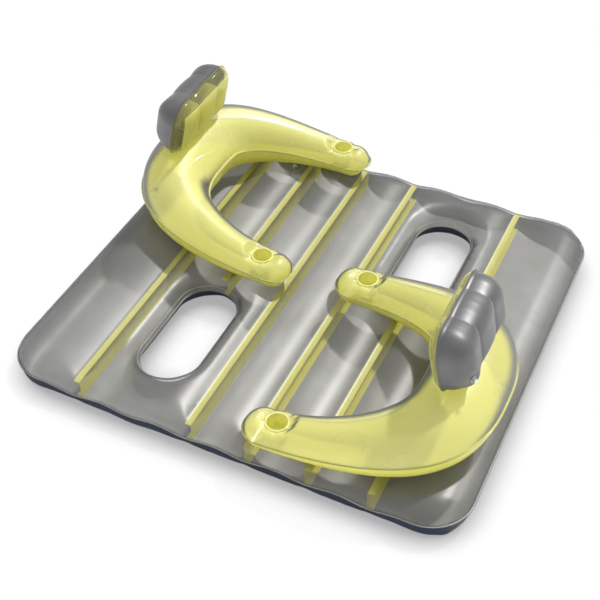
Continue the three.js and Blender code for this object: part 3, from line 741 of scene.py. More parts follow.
@dataclass
class AirMat:
    """The ribbed air mat: two films with foot wells, six ribs and the welds that show."""

    workshop: Workshop
    finishes: Finishes
    half_x: float = 0.888
    half_y: float = 0.820
    rib_pitch: float = 0.230
    rib_count: int = 6
    rib_half: float = 0.042
    rib_flange: float = 0.024
    rib_gap: float = 0.027
    crown: float = 0.0745
    full_crown: float = 0.075
    seam_z: float = 0.07525
    film_step: float = 0.00075
    edge_roll: float = 0.110
    end_roll: float = 0.040
    side_column: float = 0.313
    corner: float = 0.160
    flange: float = 0.008
    seam_lift: float = 0.013
    border_bead: float = 0.001
    well_half: float = 0.118
    well_spine: float = 0.140
    well_y: float = 0.380
    well_roll: float = 0.080
    well_flange: float = 0.005
    bay_offsets: tuple[float, ...] = (
        *(0.0, 0.006, 0.012, 0.018, 0.026, 0.035),
        *(0.046, 0.058, 0.072, 0.087, 0.101),
    )
    row_step: float = 0.012
    roll_steps: int = 14
    roll_crowding: float = 1.6
    ring_steps: int = 24
    ring_crowding: float = 1.5
    side_stops: int = 18
    weld_flat_share: float = 0.8
    pucker_start: float = 0.012
    pucker_fade: float = 0.035
    pucker_wave: float = 0.045
    pucker: float = 0.0009
    corner_pucker: float = 0.0045
    corner_share: float = 1.1
    well_pucker_start: float = 0.01
    well_pucker_fade: float = 0.03
    well_pucker_wave: float = 0.05
    well_pucker: float = 0.001
    well_radius_share: float = 0.2
    seam_reach: float = 0.06
    well_weld_out: float = 0.003
    well_line_steps: int = 180
    border_line_steps: int = 1440
    border_line_share: float = 0.7
    top_seed: int = 5
    bottom_seed: int = 50

    def __post_init__(self) -> None:
        """Works out the rib places."""
        self.rib_xs = (np.arange(self.rib_count) - (self.rib_count - 1) / 2) * self.rib_pitch
        self.well_x = self.rib_xs[1]
        self.short_end = -self.well_y + self.well_half + self.well_spine + self.rib_gap

    def rib_reach(self, x: Array, y: Array) -> tuple[Array, Array]:
        """Distance to the nearest rib's flange and the half span of the arch beside it."""
        nearest = np.full_like(x, np.inf)
        for k, rib_x in enumerate(self.rib_xs):
            along = np.zeros_like(x)
            if k == 1:
                along = np.maximum(self.short_end - y, 0)
            elif k == self.rib_count - 2:
                along = np.maximum(y + self.short_end, 0)
            nearest = np.minimum(nearest, np.hypot(x - rib_x, along))
        outside = np.abs(x) > self.rib_xs[-1]
        span = np.where(outside, self.side_column - self.edge_roll, self.rib_pitch / 2)
        flat = self.rib_flange / 2 * self.weld_flat_share
        return np.maximum(nearest - flat, 0) * span / (span - flat), span

    def well_distance(self, x: Array, y: Array, side: int) -> Array:
        """Distance outside the rim of one foot well."""
        along = np.maximum(np.abs(y - side * self.well_y) - self.well_spine, 0)
        return np.hypot(x + side * self.well_x, along) - self.well_half

    def height(self, x: Array, y: Array, side: Side = Side.UPPER) -> Array:
        """Rise of one film from the seam."""
        distance, span = self.rib_reach(x, y)
        lift = self.full_crown - self.rib_half
        radius = (span * span + lift * lift) / (2 * lift)
        off = np.clip(span - distance, 0, span)
        rise = np.sqrt(radius * radius - off * off) - (radius - lift)
        full = rise / lift
        end = self.end_roll + (self.edge_roll - self.end_roll) * full
        hole = self.end_roll + (self.well_roll - self.end_roll) * full
        edge = roll if side is Side.UPPER else full_roll
        height = (self.rib_half + rise) * edge(self.half_x - np.abs(x), self.edge_roll)
        height = height * edge(self.half_y - np.abs(y), end)
        for well in (-1, 1):
            height = height * roll(self.well_distance(x, y, well), hole)
        return np.minimum(height, self.crown)

    def puckers(self, x: Array, y: Array, seed: int) -> Array:
        """Small creases that run in from the border welds and the foot wells."""
        from_x, from_y = self.half_x - np.abs(x), self.half_y - np.abs(y)
        near = self.corner * self.corner_share
        corner = np.clip(1 - from_x / near, 0, 1) * np.clip(1 - from_y / near, 0, 1)
        total = np.zeros_like(x)
        for distance, along, shift in ((from_x, y, 0), (from_y, x, 7)):
            start = ease(distance / self.pucker_start) * np.exp(-np.maximum(distance, 0) / self.pucker_fade)
            strength = self.pucker + self.corner_pucker * corner
            signs = np.where(along > 0, 1, 2) if shift else np.where(x > 0, 3, 4)
            for sign in np.unique(signs):
                wave = ripple(along, self.pucker_wave, seed + shift + int(sign))
                total += np.where(signs == sign, wave, 0) * strength * start
        for side in (-1, 1):
            distance = self.well_distance(x, y, side)
            angle = np.arctan2(y - side * self.well_y, x + side * self.well_x)
            fade = np.exp(-np.maximum(distance, 0) / self.well_pucker_fade)
            start = ease(distance / self.well_pucker_start) * fade
            wave = ripple(angle * self.well_radius_share, self.well_pucker_wave, seed + 31 + side)
            total += wave * start * self.well_pucker
        return total

    def _columns(self) -> Array:
        """Grid stops across the ribs."""
        edge = -self.half_x + self.edge_roll * np.linspace(0, 1, self.roll_steps) ** self.roll_crowding
        side = np.linspace(edge[-1], self.rib_xs[0], self.side_stops + 1)[1:-1]
        stops = [*edge, *side]
        for rib_x in self.rib_xs[:3]:
            stops += [rib_x + o for o in self.bay_offsets]
            if rib_x < self.rib_xs[2]:
                stops.append(rib_x + self.rib_pitch / 2)
                stops += [rib_x + self.rib_pitch - o for o in self.bay_offsets[:0:-1]]
        half = np.array(stops)
        return np.concatenate([half, [0.0], -half[::-1]])

    def _rows(self) -> Array:
        """Grid stops along the ribs."""
        edge = -self.half_y + self.edge_roll * np.linspace(0, 1, self.roll_steps) ** self.roll_crowding
        count = int(round(-edge[-1] / self.row_step))
        inner = np.linspace(edge[-1], 0, count + 1)[1:-1]
        half = np.concatenate([edge, inner])
        return np.concatenate([half, [0.0], -half[::-1]])

    def plan(self) -> tuple[Array, Array, Array]:
        """Lays out the mat's grid with a ring of faces round each foot well.

        Returns:
            The plan points before rounding, the quads, and the table of grid points.
        """
        columns, rows = self._columns(), self._rows()
        grid = np.arange(len(columns) * len(rows)).reshape(len(columns), len(rows))
        points = np.stack(np.meshgrid(columns, rows, indexing="ij"), axis=-1).reshape(-1, 2)
        left = int(np.argmin(np.abs(columns - self.rib_xs[0])))
        right = int(np.argmin(np.abs(columns - self.rib_xs[2])))
        low = self.roll_steps - 1
        high = int(np.argmin(np.abs(rows)))
        cells = np.ones((len(columns) - 1, len(rows) - 1), bool)
        cells[left:right, low:high] = False
        cells[::-1, ::-1][left:right, low:high] = False
        quads = [grid_quads(grid)[cells.ravel()]]
        extra = [points]
        start = len(points)
        for side in (-1, 1):
            ring_points, ring_quads = self._ring(grid, points, (left, right, low, high), side, start)
            extra.append(ring_points)
            quads.append(ring_quads)
            start += len(ring_points)
        return np.concatenate(extra), np.concatenate(quads), grid

    def _ring(
        self, grid: Array, points: Array, field_at: tuple[int, int, int, int], side: int, start: int
    ) -> tuple[Array, Array]:
        """Faces between a foot well's rim and the grid round it.

        Args:
            grid: The table of grid points.
            points: The grid's plan points.
            field_at: The grid lines round the well: left, right, low and high.
            side: The well at the lower end, -1, or at the upper end, 1.
            start: The number that the first new point gets.

        Returns:
            The new points and the quads.
        """
        left, right, low, high = field_at
        across, up = right - left, high - low
        half, spine = self.well_half, self.well_spine
        border, rim, inward = [], [], []

        def note(i: int, j: int, x: float, y: float, nx: float, ny: float) -> None:
            """Takes down a grid point, its place on the rim and the way out of the well there."""
            border.append((i, j))
            rim.append((x, y))
            inward.append((-nx, -ny))

        for k in range(across + 1):
            a = math.pi * k / across
            note(right - k, high, half * math.cos(a), spine + half * math.sin(a), math.cos(a), math.sin(a))
        for k in range(1, up):
            note(left, high - k, -half, spine * (1 - 2 * k / up), -1, 0)
        for k in range(across + 1):
            a = math.pi + math.pi * k / across
            note(left + k, low, half * math.cos(a), -spine + half * math.sin(a), math.cos(a), math.sin(a))
        for k in range(1, up):
            note(right, low + k, half, spine * (2 * k / up - 1), 1, 0)
        cells = np.array(border)
        rim_at = np.array(rim) + np.array([self.well_x, -self.well_y])
        lip = np.array(inward) * self.well_flange
        if side > 0:
            rim_at, lip = -rim_at, -lip
            outer_ids = grid[grid.shape[0] - 1 - cells[:, 0], grid.shape[1] - 1 - cells[:, 1]]
        else:
            outer_ids = grid[cells[:, 0], cells[:, 1]]
        outer = points[outer_ids]
        shares = np.linspace(0, 1, self.ring_steps + 1) ** self.ring_crowding
        levels = [rim_at + lip] + [rim_at + (outer - rim_at) * s for s in shares[:-1]]
        count = len(cells)
        ids = start + np.arange(len(levels) * count).reshape(len(levels), count)
        ids = np.concatenate([ids, outer_ids[None, :]])
        return np.concatenate(levels), grid_quads(around(ids))

    def surface(self, side: Side) -> Surface:
        """One of the mat's films, with its weld flange.

        Args:
            side: The upper or the lower film.

        Returns:
            The film's outer face.
        """
        flat, quads, grid = self.plan()
        x, y = flat[:, 0], flat[:, 1]
        seed = self.top_seed if side is Side.UPPER else self.bottom_seed
        height = self.height(x, y, side) + self.puckers(x, y, seed)
        wave = self._seam_wave(x, y)
        plan_x, plan_y = round_corner(x, y, self.half_x, self.half_y, self.corner)
        z = self.seam_z + wave + side.value * (self.film_step + height)
        if side is Side.LOWER:
            z = np.maximum(z, 0.0)
        points = np.stack([plan_x, plan_y, z], axis=1)
        loop = edge_loop(grid)
        edge = points[loop]
        along = np.roll(edge, -1, axis=0) - np.roll(edge, 1, axis=0)
        along /= np.linalg.norm(along[:, :2], axis=1, keepdims=True)
        outer = edge + np.stack([along[:, 1], -along[:, 0], np.zeros(len(edge))], axis=1) * self.flange
        outer[:, 0] = np.clip(outer[:, 0], -self.half_x - self.flange, self.half_x + self.flange)
        ids = len(points) + np.arange(len(loop))
        band = grid_quads(around(np.stack([loop, ids])))
        points = np.concatenate([points, outer])
        return Surface(points, np.concatenate([quads, band])).facing((0, 0, side.value))

    def border_line(self) -> Array:
        """A closed line along the middle of the border weld, on top of the two films."""
        turns = np.linspace(0, 2 * math.pi, self.border_line_steps, endpoint=False)
        c, s = np.cos(turns), np.sin(turns)
        reach = 1 / np.maximum(np.abs(c) / self.half_x, np.abs(s) / self.half_y)
        x, y = reach * c, reach * s
        wave = self._seam_wave(x, y)
        x, y = round_corner(x, y, self.half_x, self.half_y, self.corner)
        out = 1 + self.flange * self.border_line_share / np.hypot(x, y)
        return np.stack([x * out, y * out, self.seam_z + wave + 2 * self.film_step], axis=1)

    def _seam_wave(self, x: Array, y: Array) -> Array:
        """How the border weld rides up in the middle of each lobe's end and along the two sides."""
        near_end = np.clip(1 - (self.half_y - np.abs(y)) / self.seam_reach, 0, 1) ** 2
        near_side = np.clip(1 - (self.half_x - np.abs(x)) / self.seam_reach, 0, 1) ** 2
        lobe = (1 - np.cos(2 * math.pi * (x / self.rib_pitch - 0.5))) / 2
        lobe = np.where(np.abs(x) < self.rib_xs[-1] + self.rib_pitch / 2, lobe, 1.0)
        return self.seam_lift * np.maximum(lobe * near_end, near_side)

    def ribs(self) -> list[bpy.types.Object]:
        """Builds the six ribs, each a C-section swept by geometry nodes."""
        made = []
        for index in range(self.rib_count):
            mirrored = index >= self.rib_count // 2
            source = self.rib_count - 1 - index if mirrored else index
            start = self.short_end if source == 1 else -self.half_y + self.rib_gap
            rib = RibStrip(self.workshop, self.finishes.rib).build(
                f"mat_rib_{index + 1}", self.rib_xs[source], start, self.half_y - self.rib_gap, mirrored
            )
            made.append(rib)
        return made

    def well_line(self, side: int, out: float) -> Array:
        """A closed line on the upper film round a foot well, at a distance outside its rim."""
        angles = np.linspace(0, 2 * math.pi, self.well_line_steps, endpoint=False)
        reach = self.well_half + out
        x = reach * np.cos(angles)
        y = reach * np.sin(angles) + np.where(np.sin(angles) > 0, 1, -1) * self.well_spine
        x, y = x - side * self.well_x, y + side * self.well_y
        z = self.seam_z + self.film_step + self.height(x, y)
        return np.stack([x, y, z], axis=1)

    def build(self, welds: Welds) -> None:
        """Builds and dresses the mat's pieces."""
        looks = self.finishes
        top = self.workshop.shell("air_mat_top", self.surface(Side.UPPER), looks.smoke)
        bottom_face = self.surface(Side.LOWER)
        valve = ValveSeat("mat_valve")
        bottom = self.workshop.shell("air_mat_bottom", valve.open(bottom_face), looks.navy, looks.silver)
        films = ((top, "mat_top_film", "silver_film"), (bottom, "mat_bottom_film", "navy_film"))
        for piece, node, slot in films:
            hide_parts(node)
            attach(piece, "lounger")
            log.info("%s: %d faces", piece.name, len(piece.data.polygons))
        for index, rib in enumerate(self.ribs()):
            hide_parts(f"rib_{index + 1}")
            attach(rib, "lounger")
        log.info("six ribs swept")
        for side in (-1, 1):
            line = self.well_line(side, self.well_weld_out)
            bead = welds.bead(f"foot_well_weld_{(side + 3) // 2}", line, True, looks.weld)
            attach(bead, "lounger")
        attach(welds.bead("border_weld", self.border_line(), True, looks.weld, self.border_bead), "lounger")
        valve.dress(looks)


@dataclass
class RibStrip:
    """A C-section strip of film that ties the mat's two films, swept by geometry nodes."""

    workshop: Workshop
    finish: FilmFinish
    half_height: float = 0.04155
    flange: float = 0.024
    wall: float = 0.0006
    seam_z: float = 0.07525
    step: float = 0.012
    end_roll: float = 0.040
    end_gap: float = 0.027

    def tree(self) -> bpy.types.NodeTree:
        """Builds the rib's node tree once.

        Returns:
            The tree. It sweeps the Section, drawn in X and Z, along Y from Start to End, and lowers it
            towards its ends by the mat's roll.
        """
        found = bpy.data.node_groups.get("rib_strip")
        if found:
            return found
        sizes = dict.fromkeys(("Start", "End", "Step", "Seam Height", "End Roll", "End Gap"), "Float")
        sockets = {"Section": "Geometry", **sizes}
        tree = new_tree("rib_strip", "GeometryNodeTree", sockets, {"Strip": "Geometry"})
        given = tree.nodes.new("NodeGroupInput").outputs
        span = solve(tree, "SUBTRACT", given["End"], given["Start"])
        count = solve(tree, "ADD", solve(tree, "CEIL", solve(tree, "DIVIDE", span, given["Step"])), 1)
        ends = [add_node(tree, "ShaderNodeCombineXYZ", {"Y": given[end]}) for end in ("Start", "End")]
        low, high = (end.outputs["Vector"] for end in ends)
        line = {"Count": count, "Start Location": low, "Offset": high}
        path = add_node(tree, "GeometryNodeMeshLine", line, mode="END_POINTS")
        rows = {"Points": path.outputs["Mesh"], "Instance": given["Section"]}
        placed = add_node(tree, "GeometryNodeInstanceOnPoints", rows).outputs["Instances"]
        real = add_node(tree, "GeometryNodeRealizeInstances", {"Geometry": placed}).outputs["Geometry"]
        position = tree.nodes.new("GeometryNodeInputPosition").outputs["Position"]
        at = add_node(tree, "ShaderNodeSeparateXYZ", {"Vector": position}).outputs
        from_start = solve(tree, "SUBTRACT", at["Y"], given["Start"])
        from_end = solve(tree, "SUBTRACT", given["End"], at["Y"])
        inset = solve(tree, "ADD", solve(tree, "MINIMUM", from_start, from_end), given["End Gap"])
        share = solve(tree, "MINIMUM", solve(tree, "DIVIDE", inset, given["End Roll"]), 1.0)
        left = solve(tree, "SUBTRACT", 1.0, share)
        rise = solve(tree, "SQRT", solve(tree, "SUBTRACT", 1.0, solve(tree, "MULTIPLY", left, left)))
        over = solve(tree, "SUBTRACT", at["Z"], given["Seam Height"])
        height = solve(tree, "ADD", solve(tree, "MULTIPLY", over, rise), given["Seam Height"])
        place = add_node(tree, "ShaderNodeCombineXYZ", {"X": at["X"], "Y": at["Y"], "Z": height})
        moved = {"Geometry": real, "Position": place.outputs["Vector"]}
        shape = add_node(tree, "GeometryNodeSetPosition", moved).outputs["Geometry"]
        add_node(tree, "NodeGroupOutput", {"Strip": dressed(tree, shape, self.finish.material())})
        return tree

    def section(self, rib_x: float) -> Array:
        """Corners of the C-section at one end, in order."""
        top, low = self.seam_z + self.half_height, self.seam_z - self.half_height
        left, right = rib_x - self.flange / 2, rib_x + self.flange / 2
        return np.array(
            [
                (left, 0, top),
                (left, 0, top - self.wall),
                (right - self.wall, 0, top - self.wall),
                (right - self.wall, 0, low + self.wall),
                (left, 0, low + self.wall),
                (left, 0, low),
                (right, 0, low),
                (right, 0, top),
            ]
        )

    def build(self, name: str, rib_x: float, start: float, end: float, mirrored: bool) -> bpy.types.Object:
        """Sweeps one rib.

        Args:
            name: The piece's name.
            rib_x: Where the rib stands.
            start: Its lower end along Y.
            end: Its upper end along Y.
            mirrored: Whether it is the half-turn copy.

        Returns:
            The rib as a plain closed mesh object.
        """
        corners = self.section(rib_x)
        count = len(corners)
        mesh = bpy.data.meshes.new(name)
        mesh.from_pydata(corners.tolist(), [(k, (k + 1) % count) for k in range(count)], [])
        piece = self.workshop.link(name, mesh)
        sizes = {"Start": start, "End": end, "Step": self.step, "Seam Height": self.seam_z}
        sizes |= {"End Roll": self.end_roll, "End Gap": self.end_gap}
        self.workshop.shaped(piece, self.tree(), sizes)
        rings = len(piece.data.vertices) // count
        co = np.zeros(len(piece.data.vertices) * 3)
        piece.data.vertices.foreach_get("co", co)
        points = co.reshape(rings, count, 3)
        order = np.argsort(points[:, 0, 1])
        points = points[order].reshape(-1, 3)
        if mirrored:
            points = points * np.array([-1, -1, 1])
        ids = np.arange(rings * count).reshape(rings, count)
        faces = grid_quads(around(ids))[:, ::-1].tolist()
        for ring, flip in ((0, False), (rings - 1, True)):
            for cap in ((0, 1, 2, 7), (2, 3, 6, 7), (3, 4, 5, 6)):
                corner = [int(ids[ring, k]) for k in cap]
                faces.append(corner if flip else corner[::-1])
        made = bpy.data.meshes.new(name)
        made.from_pydata(points.tolist(), [], faces)
        made.materials.append(self.finish.material())
        made.update()
        piece.data = made
        return piece


# Valves


@dataclass
class ValveSeat:
    """Where a valve stands: its film is flat and cut there, and its CAD pieces get their finish."""

    name: str
    flat: float = 0.017
    reach: float = 0.048
    hole: float = 0.0089
    stem_centre: float = -0.003

    def place(self) -> tuple[Vector, Vector]:
        """The point on the film's outer face and the outward normal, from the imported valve."""
        axis = next(Vector(j["axis"]) for j in FRAME["joints"] if j["name"] == f"{self.name}_push")
        normal = -axis.normalized()
        co = np.array([v.co for v in FRAME["nodes"][f"{self.name}_stem"].data.vertices])
        along = co @ np.array(normal)
        centre = Vector(co.mean(0))
        centre += normal * ((along.min() + along.max()) / 2 - centre.dot(normal))
        return centre - normal * self.stem_centre, normal

    def flatten(self, points: Array) -> Array:
        """Moves the film's points near the valve onto the plane of its flange."""
        a, n = (np.array(v) for v in self.place())
        offset = (points - a) @ n
        radial = np.linalg.norm(points - a - offset[:, None] * n, axis=1)
        near = (np.abs(offset) < self.reach) & (radial < self.reach)
        share = np.where(near, 1 - ease((radial - self.flat) / (self.reach - self.flat)), 0)
        return points - (share * offset)[:, None] * n

    def open(self, film: Surface) -> Surface:
        """Flattens a film at the valve and opens it where the stem goes through."""
        at, normal = self.place()
        return Surface(self.flatten(film.points), film.quads, film.tris).pierced(at, normal, self.hole)

    def dress(self, looks: Finishes) -> None:
        """Gives the valve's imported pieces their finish."""
        for part in ("base", "stem", "plug", "check_flap"):
            node = FRAME["nodes"][f"{self.name}_{part}"]
            finish = looks.plug if part == "plug" else looks.vinyl
            node.data.materials.clear()
            node.data.materials.append(finish.material())
        log.info("%s dressed", self.name)


# Backrests


@dataclass
class Backrest:
    """A U-shaped tube with cup holders in its arm ends, drawn for the seat at +X."""

    workshop: Workshop
    finishes: Finishes
    index: int
    turn: Turn
    seat_y: float = -0.360
    arm_pitch: float = 0.772
    arm_end: float = 0.160
    back_x: float = 0.735
    arm_width: float = 0.072
    back_width: float = 0.145
    arm_height: float = 0.064
    back_height: float = 0.150
    settle: float = 0.024
    flange: float = 0.006
    mat_top: float = 0.1505
    film_step: float = 0.00075
    clearance: float = 0.0003
    bend: tuple[float, float] = (0.95, 0.66)
    width_power: float = 1.9
    height_power: float = 1.3
    stations: int = 240
    tip_stations: int = 12
    facets: int = 44
    pucker: tuple[float, float] = (0.0008, 0.0010)
    pucker_wave: tuple[float, float] = (0.045, 0.06)
    pucker_fade: tuple[float, float] = (0.03, 0.05)
    pucker_start: float = 0.012
    bend_pucker: float = 0.0022
    bend_reach: float = 0.05
    tip_pucker: float = 0.0015
    tip_inset: float = 0.03
    tip_reach: float = 0.06
    longest_gap: float = 0.2
    curve_steps: int = 8001
    cup_x: float = 0.210
    cup_ys: tuple[float, float] = (-0.74525, 0.02525)
    collar_z: float = 0.2444
    collar_radius: float = 0.0405
    collar_reach: float = 0.036
    collar_bore: float = 0.0376
    pleat: float = 0.0028
    pleat_wave: float = 0.055
    pleat_radius: float = 0.1
    pleat_swell: float = 0.7
    pleat_fall: float = 0.9
    drawn_from: float = 0.2
    drawn_ease: float = 0.02
    tab: tuple[float, float, float] = (0.478, 0.052, 0.045)
    tab_out: float = 0.43
    tab_rise: float = 0.012
    tab_bead: float = 0.0008
    tab_steps: int = 60

    def centre(self, turn: Array) -> tuple[Array, Array]:
        """The tube's middle line in plan."""
        c = np.maximum(np.cos(turn), 0)
        s = np.sin(turn)
        x = self.arm_end + (self.back_x - self.arm_end) * c ** self.bend[0]
        y = self.seat_y + self.arm_pitch / 2 * np.sign(s) * np.abs(s) ** self.bend[1]
        return x, y

    def path(self) -> dict[str, Array]:
        """Stations at even steps along the middle line, with both arm tips.

        Returns:
            Arrays of the middle, the outward direction, the half sizes, the seam's height, the direction of
            the weld flange, and the distance along the tube.
        """
        turn = np.linspace(-math.pi / 2, math.pi / 2, self.curve_steps)
        x, y = self.centre(turn)
        length = np.concatenate([[0], np.cumsum(np.hypot(np.diff(x), np.diff(y)))])
        even = np.interp(np.linspace(0, length[-1], self.stations), length, turn)
        x, y = self.centre(even)
        dx, dy = np.gradient(x), np.gradient(y)
        dx[[0, -1]] = [1, -1]
        dy[[0, -1]] = 0
        size = np.hypot(dx, dy)
        out = np.stack([dy / size, -dx / size], axis=1)
        c = np.maximum(np.cos(even), 0)
        width = self.arm_width + (self.back_width - self.arm_width) * c**self.width_power
        height = self.arm_height + (self.back_height - self.arm_height) * c**self.height_power
        seam = self.mat_top + self.clearance + self.film_step + height - self.settle
        rows = {
            "middle": np.stack([x, y], axis=1),
            "out": out,
            "width": width,
            "height": height,
            "seam": seam,
            "flange": out.copy(),
            "along": np.linspace(0, length[-1], self.stations),
        }
        return self._with_tips(rows)

    def _with_tips(self, rows: dict[str, Array]) -> dict[str, Array]:
        """Adds the rounded arm ends before and after the stations."""
        turns = np.linspace(0, math.pi / 2, self.tip_stations + 1)[1:-1]
        for first in (True, False):
            side = -1 if first else 1
            end = 0 if first else -1
            middle = rows["middle"][end] - np.stack([self.arm_width * np.sin(turns), 0 * turns], axis=1)
            out = np.tile([0.0, side], (len(turns), 1))
            flange = np.stack([-np.sin(turns), side * np.cos(turns)], axis=1)
            tip = {
                "middle": middle,
                "out": out,
                "width": self.arm_width * np.cos(turns),
                "height": self.arm_height * np.cos(turns),
                "seam": np.full(len(turns), rows["seam"][end]),
                "flange": flange,
                "along": rows["along"][end] + side * self.arm_width * turns,
            }
            for key, value in tip.items():
                value = value[::-1] if first else value
                rows[key] = np.concatenate([value, rows[key]] if first else [rows[key], value])
        return rows

    def surface(self, side: Side) -> Surface:
        """One film of the tube with its weld flange.

        Args:
            side: The upper film, or the lower one, which is flat where it lies on the mat.

        Returns:
            The film's outer face.
        """
        rows = self.path()
        count = len(rows["along"])
        turn = np.linspace(0, math.pi, self.facets + 1)
        reach = rows["width"][:, None] * np.cos(turn)
        plan = rows["middle"][:, None, :] + rows["out"][:, None, :] * reach[..., None]
        bulge = rows["height"][:, None] * np.sin(turn)
        seam_gap = rows["width"][:, None] * np.minimum(turn, math.pi - turn)
        seam_gap = np.minimum(seam_gap, self.longest_gap)
        crease = self._puckers(rows, turn, seam_gap, side)
        if side is Side.LOWER:
            bulge = np.minimum(bulge + crease, rows["height"][:, None] - self.settle)
        else:
            bulge = bulge + crease
        z = rows["seam"][:, None] + side.value * (self.film_step + np.maximum(bulge, 0))
        points = np.concatenate([plan, z[..., None]], axis=2)
        lip = np.concatenate([rows["flange"], np.zeros((count, 1))], axis=1)
        tips = np.abs(rows["flange"][:, 0]) * (rows["middle"][:, 0] < self.arm_end - 1e-6)
        inner = np.where(tips[:, None] > 0, lip * np.array([1, -1, 1]), -lip)
        first, last = points[:, 0] + lip * self.flange, points[:, -1] + inner * self.flange
        table = np.concatenate([first[:, None], points, last[:, None]], axis=1)
        ids = np.arange(table.shape[0] * table.shape[1]).reshape(table.shape[:2])
        made = Surface(table.reshape(-1, 3), grid_quads(ids))
        made = self._close_tips(made, ids, rows, side)
        return made.facing((0, 0, side.value))

    def _puckers(self, rows: dict[str, Array], turn: Array, gap: Array, side: Side) -> Array:
        """Creases that run in from the two welds, strongest inside the bend and at the arm tips."""
        along = rows["along"][:, None] + 0 * turn
        inner = turn > math.pi / 2
        bend = ease((rows["width"][:, None] - self.arm_width) / self.bend_reach)
        strength = np.where(inner, self.pucker[1] + self.bend_pucker * bend, self.pucker[0])
        tip = np.clip((self.arm_end + self.tip_inset - rows["middle"][:, 0]) / self.tip_reach, 0, 1)
        strength = strength + self.tip_pucker * tip[:, None]
        fade = ease(gap / self.pucker_start) * np.exp(-gap / np.where(inner, *self.pucker_fade[::-1]))
        seed = 100 * self.index + (1 if side is Side.UPPER else 2)
        outer_wave, inner_wave = self.pucker_wave
        waves = np.where(inner, ripple(along, inner_wave, seed), ripple(along, outer_wave, seed + 9))
        return waves * strength * fade

    def _close_tips(self, made: Surface, ids: Array, rows: dict[str, Array], side: Side) -> Surface:
        """Runs the last section at each arm tip together in one point on the seam."""
        points, tris = [made.points], []
        start = len(made.points)
        for end, row in ((0, ids[0]), (-1, ids[-1])):
            y = rows["middle"][end, 1]
            z = rows["seam"][end] + side.value * self.film_step
            pole_x = self.arm_end - self.arm_width
            points.append(np.array([[pole_x, y, z], [pole_x - self.flange, y, z]]))
            pole, nose = start, start + 1
            start += 2
            fan = [(row[k], pole, row[k + 1]) for k in range(1, len(row) - 2)]
            fan += [(row[0], nose, row[1]), (row[1], nose, pole)]
            fan += [(row[-2], nose, row[-1]), (row[-2], pole, nose)]
            tris += [t[::-1] if end == 0 else t for t in fan]
        return Surface(np.concatenate(points), made.quads, np.array(tris))

    def draw_to_cups(self, points: Array) -> Array:
        """Draws the upper film up or down to the cup holders' collars, with pleats round them."""
        z = points[:, 2].copy()
        for number, cup_y in enumerate(self.cup_ys):
            dx, dy = points[:, 0] - self.cup_x, points[:, 1] - cup_y
            away = np.hypot(dx, dy)
            share = 1 - ease((away - self.collar_radius) / self.collar_reach)
            upper = ease((points[:, 2] - self.drawn_from) / self.drawn_ease)
            angle = np.arctan2(dy, dx)
            pleat = ripple(angle * self.pleat_radius, self.pleat_wave, 17 + number + 5 * self.index)
            between = np.clip((away - self.collar_radius) / self.collar_reach, 0, 1)
            fold = self.pleat * np.sin(between * math.pi) ** self.pleat_swell * (pleat - self.pleat_fall)
            target = z + (self.collar_z - z) * share
            z = z + ((target - z) + fold) * upper * (away < self.collar_radius + self.collar_reach)
        return np.column_stack([points[:, :2], z])

    def turned(self, points: Array) -> Array:
        """Points in the seat's own place."""
        sign = self.turn.value
        return points * np.array([sign, sign, 1])

    def tab_line(self, film: BVHTree) -> Array:
        """The D-shaped weld of a tab on the outer arm, on the upper film above the seam."""
        middle, half, rise = self.tab
        y_seam = self.seat_y - self.tab_out
        line = []
        for share in np.linspace(0, 1, self.tab_steps):
            a = math.pi * share
            x = middle + half * math.cos(a)
            y = y_seam + self.tab_rise + rise * math.sin(a)
            at = Vector((self.turn.value * x, self.turn.value * y, 1.0))
            hit = film.ray_cast(at, Vector((0, 0, -1)))[0]
            if hit is not None:
                line.append(tuple(hit + Vector((0, 0, LINE_LIFT))))
        return np.array(line)

    def build(self, welds: Welds) -> BVHTree:
        """Builds and dresses the backrest's pieces.

        Returns:
            The upper film's search tree, for what stands on it.
        """
        looks = self.finishes
        upper_face = self.surface(Side.UPPER)
        upper_face.points = self.draw_to_cups(upper_face.points)
        upper_face.points = self.turned(upper_face.points)
        lower_face = self.surface(Side.LOWER)
        lower_face.points = self.turned(lower_face.points)
        valve = ValveSeat(f"backrest_{self.index}_valve")
        lower_face = valve.open(lower_face)
        sign = self.turn.value
        for cup_y in self.cup_ys:
            at = Vector((sign * self.cup_x, sign * cup_y, self.collar_z))
            upper_face = upper_face.pierced(at, Vector((0, 0, 1)), self.collar_bore)
        upper = self.workshop.shell(f"seat_{self.index}_tube_top", upper_face, looks.clear)
        lower = self.workshop.shell(f"seat_{self.index}_tube_bottom", lower_face, looks.yellow)
        film = BVHTree.FromPolygons(
            [tuple(p) for p in upper_face.points], [tuple(q) for q in upper_face.quads.tolist()]
        )
        for piece, node, slot in (
            (upper, f"backrest_{self.index}_upper_film", "smoke_film"),
            (lower, f"backrest_{self.index}_lower_film", "yellow_film"),
        ):
            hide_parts(node)
            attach(piece, "lounger")
            log.info("%s: %d faces", piece.name, len(piece.data.polygons))
        line = self.tab_line(film)
        tab = welds.bead(f"seat_{self.index}_tab_weld", line, False, looks.clear_yellow, self.tab_bead)
        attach(tab, "lounger")
        for name, cup_y in zip(("right", "left"), self.cup_ys):
            CupHolder(self.workshop, looks, f"{self.index}_{name}", sign * self.cup_x, sign * cup_y).build()
        valve.dress(looks)
        return film


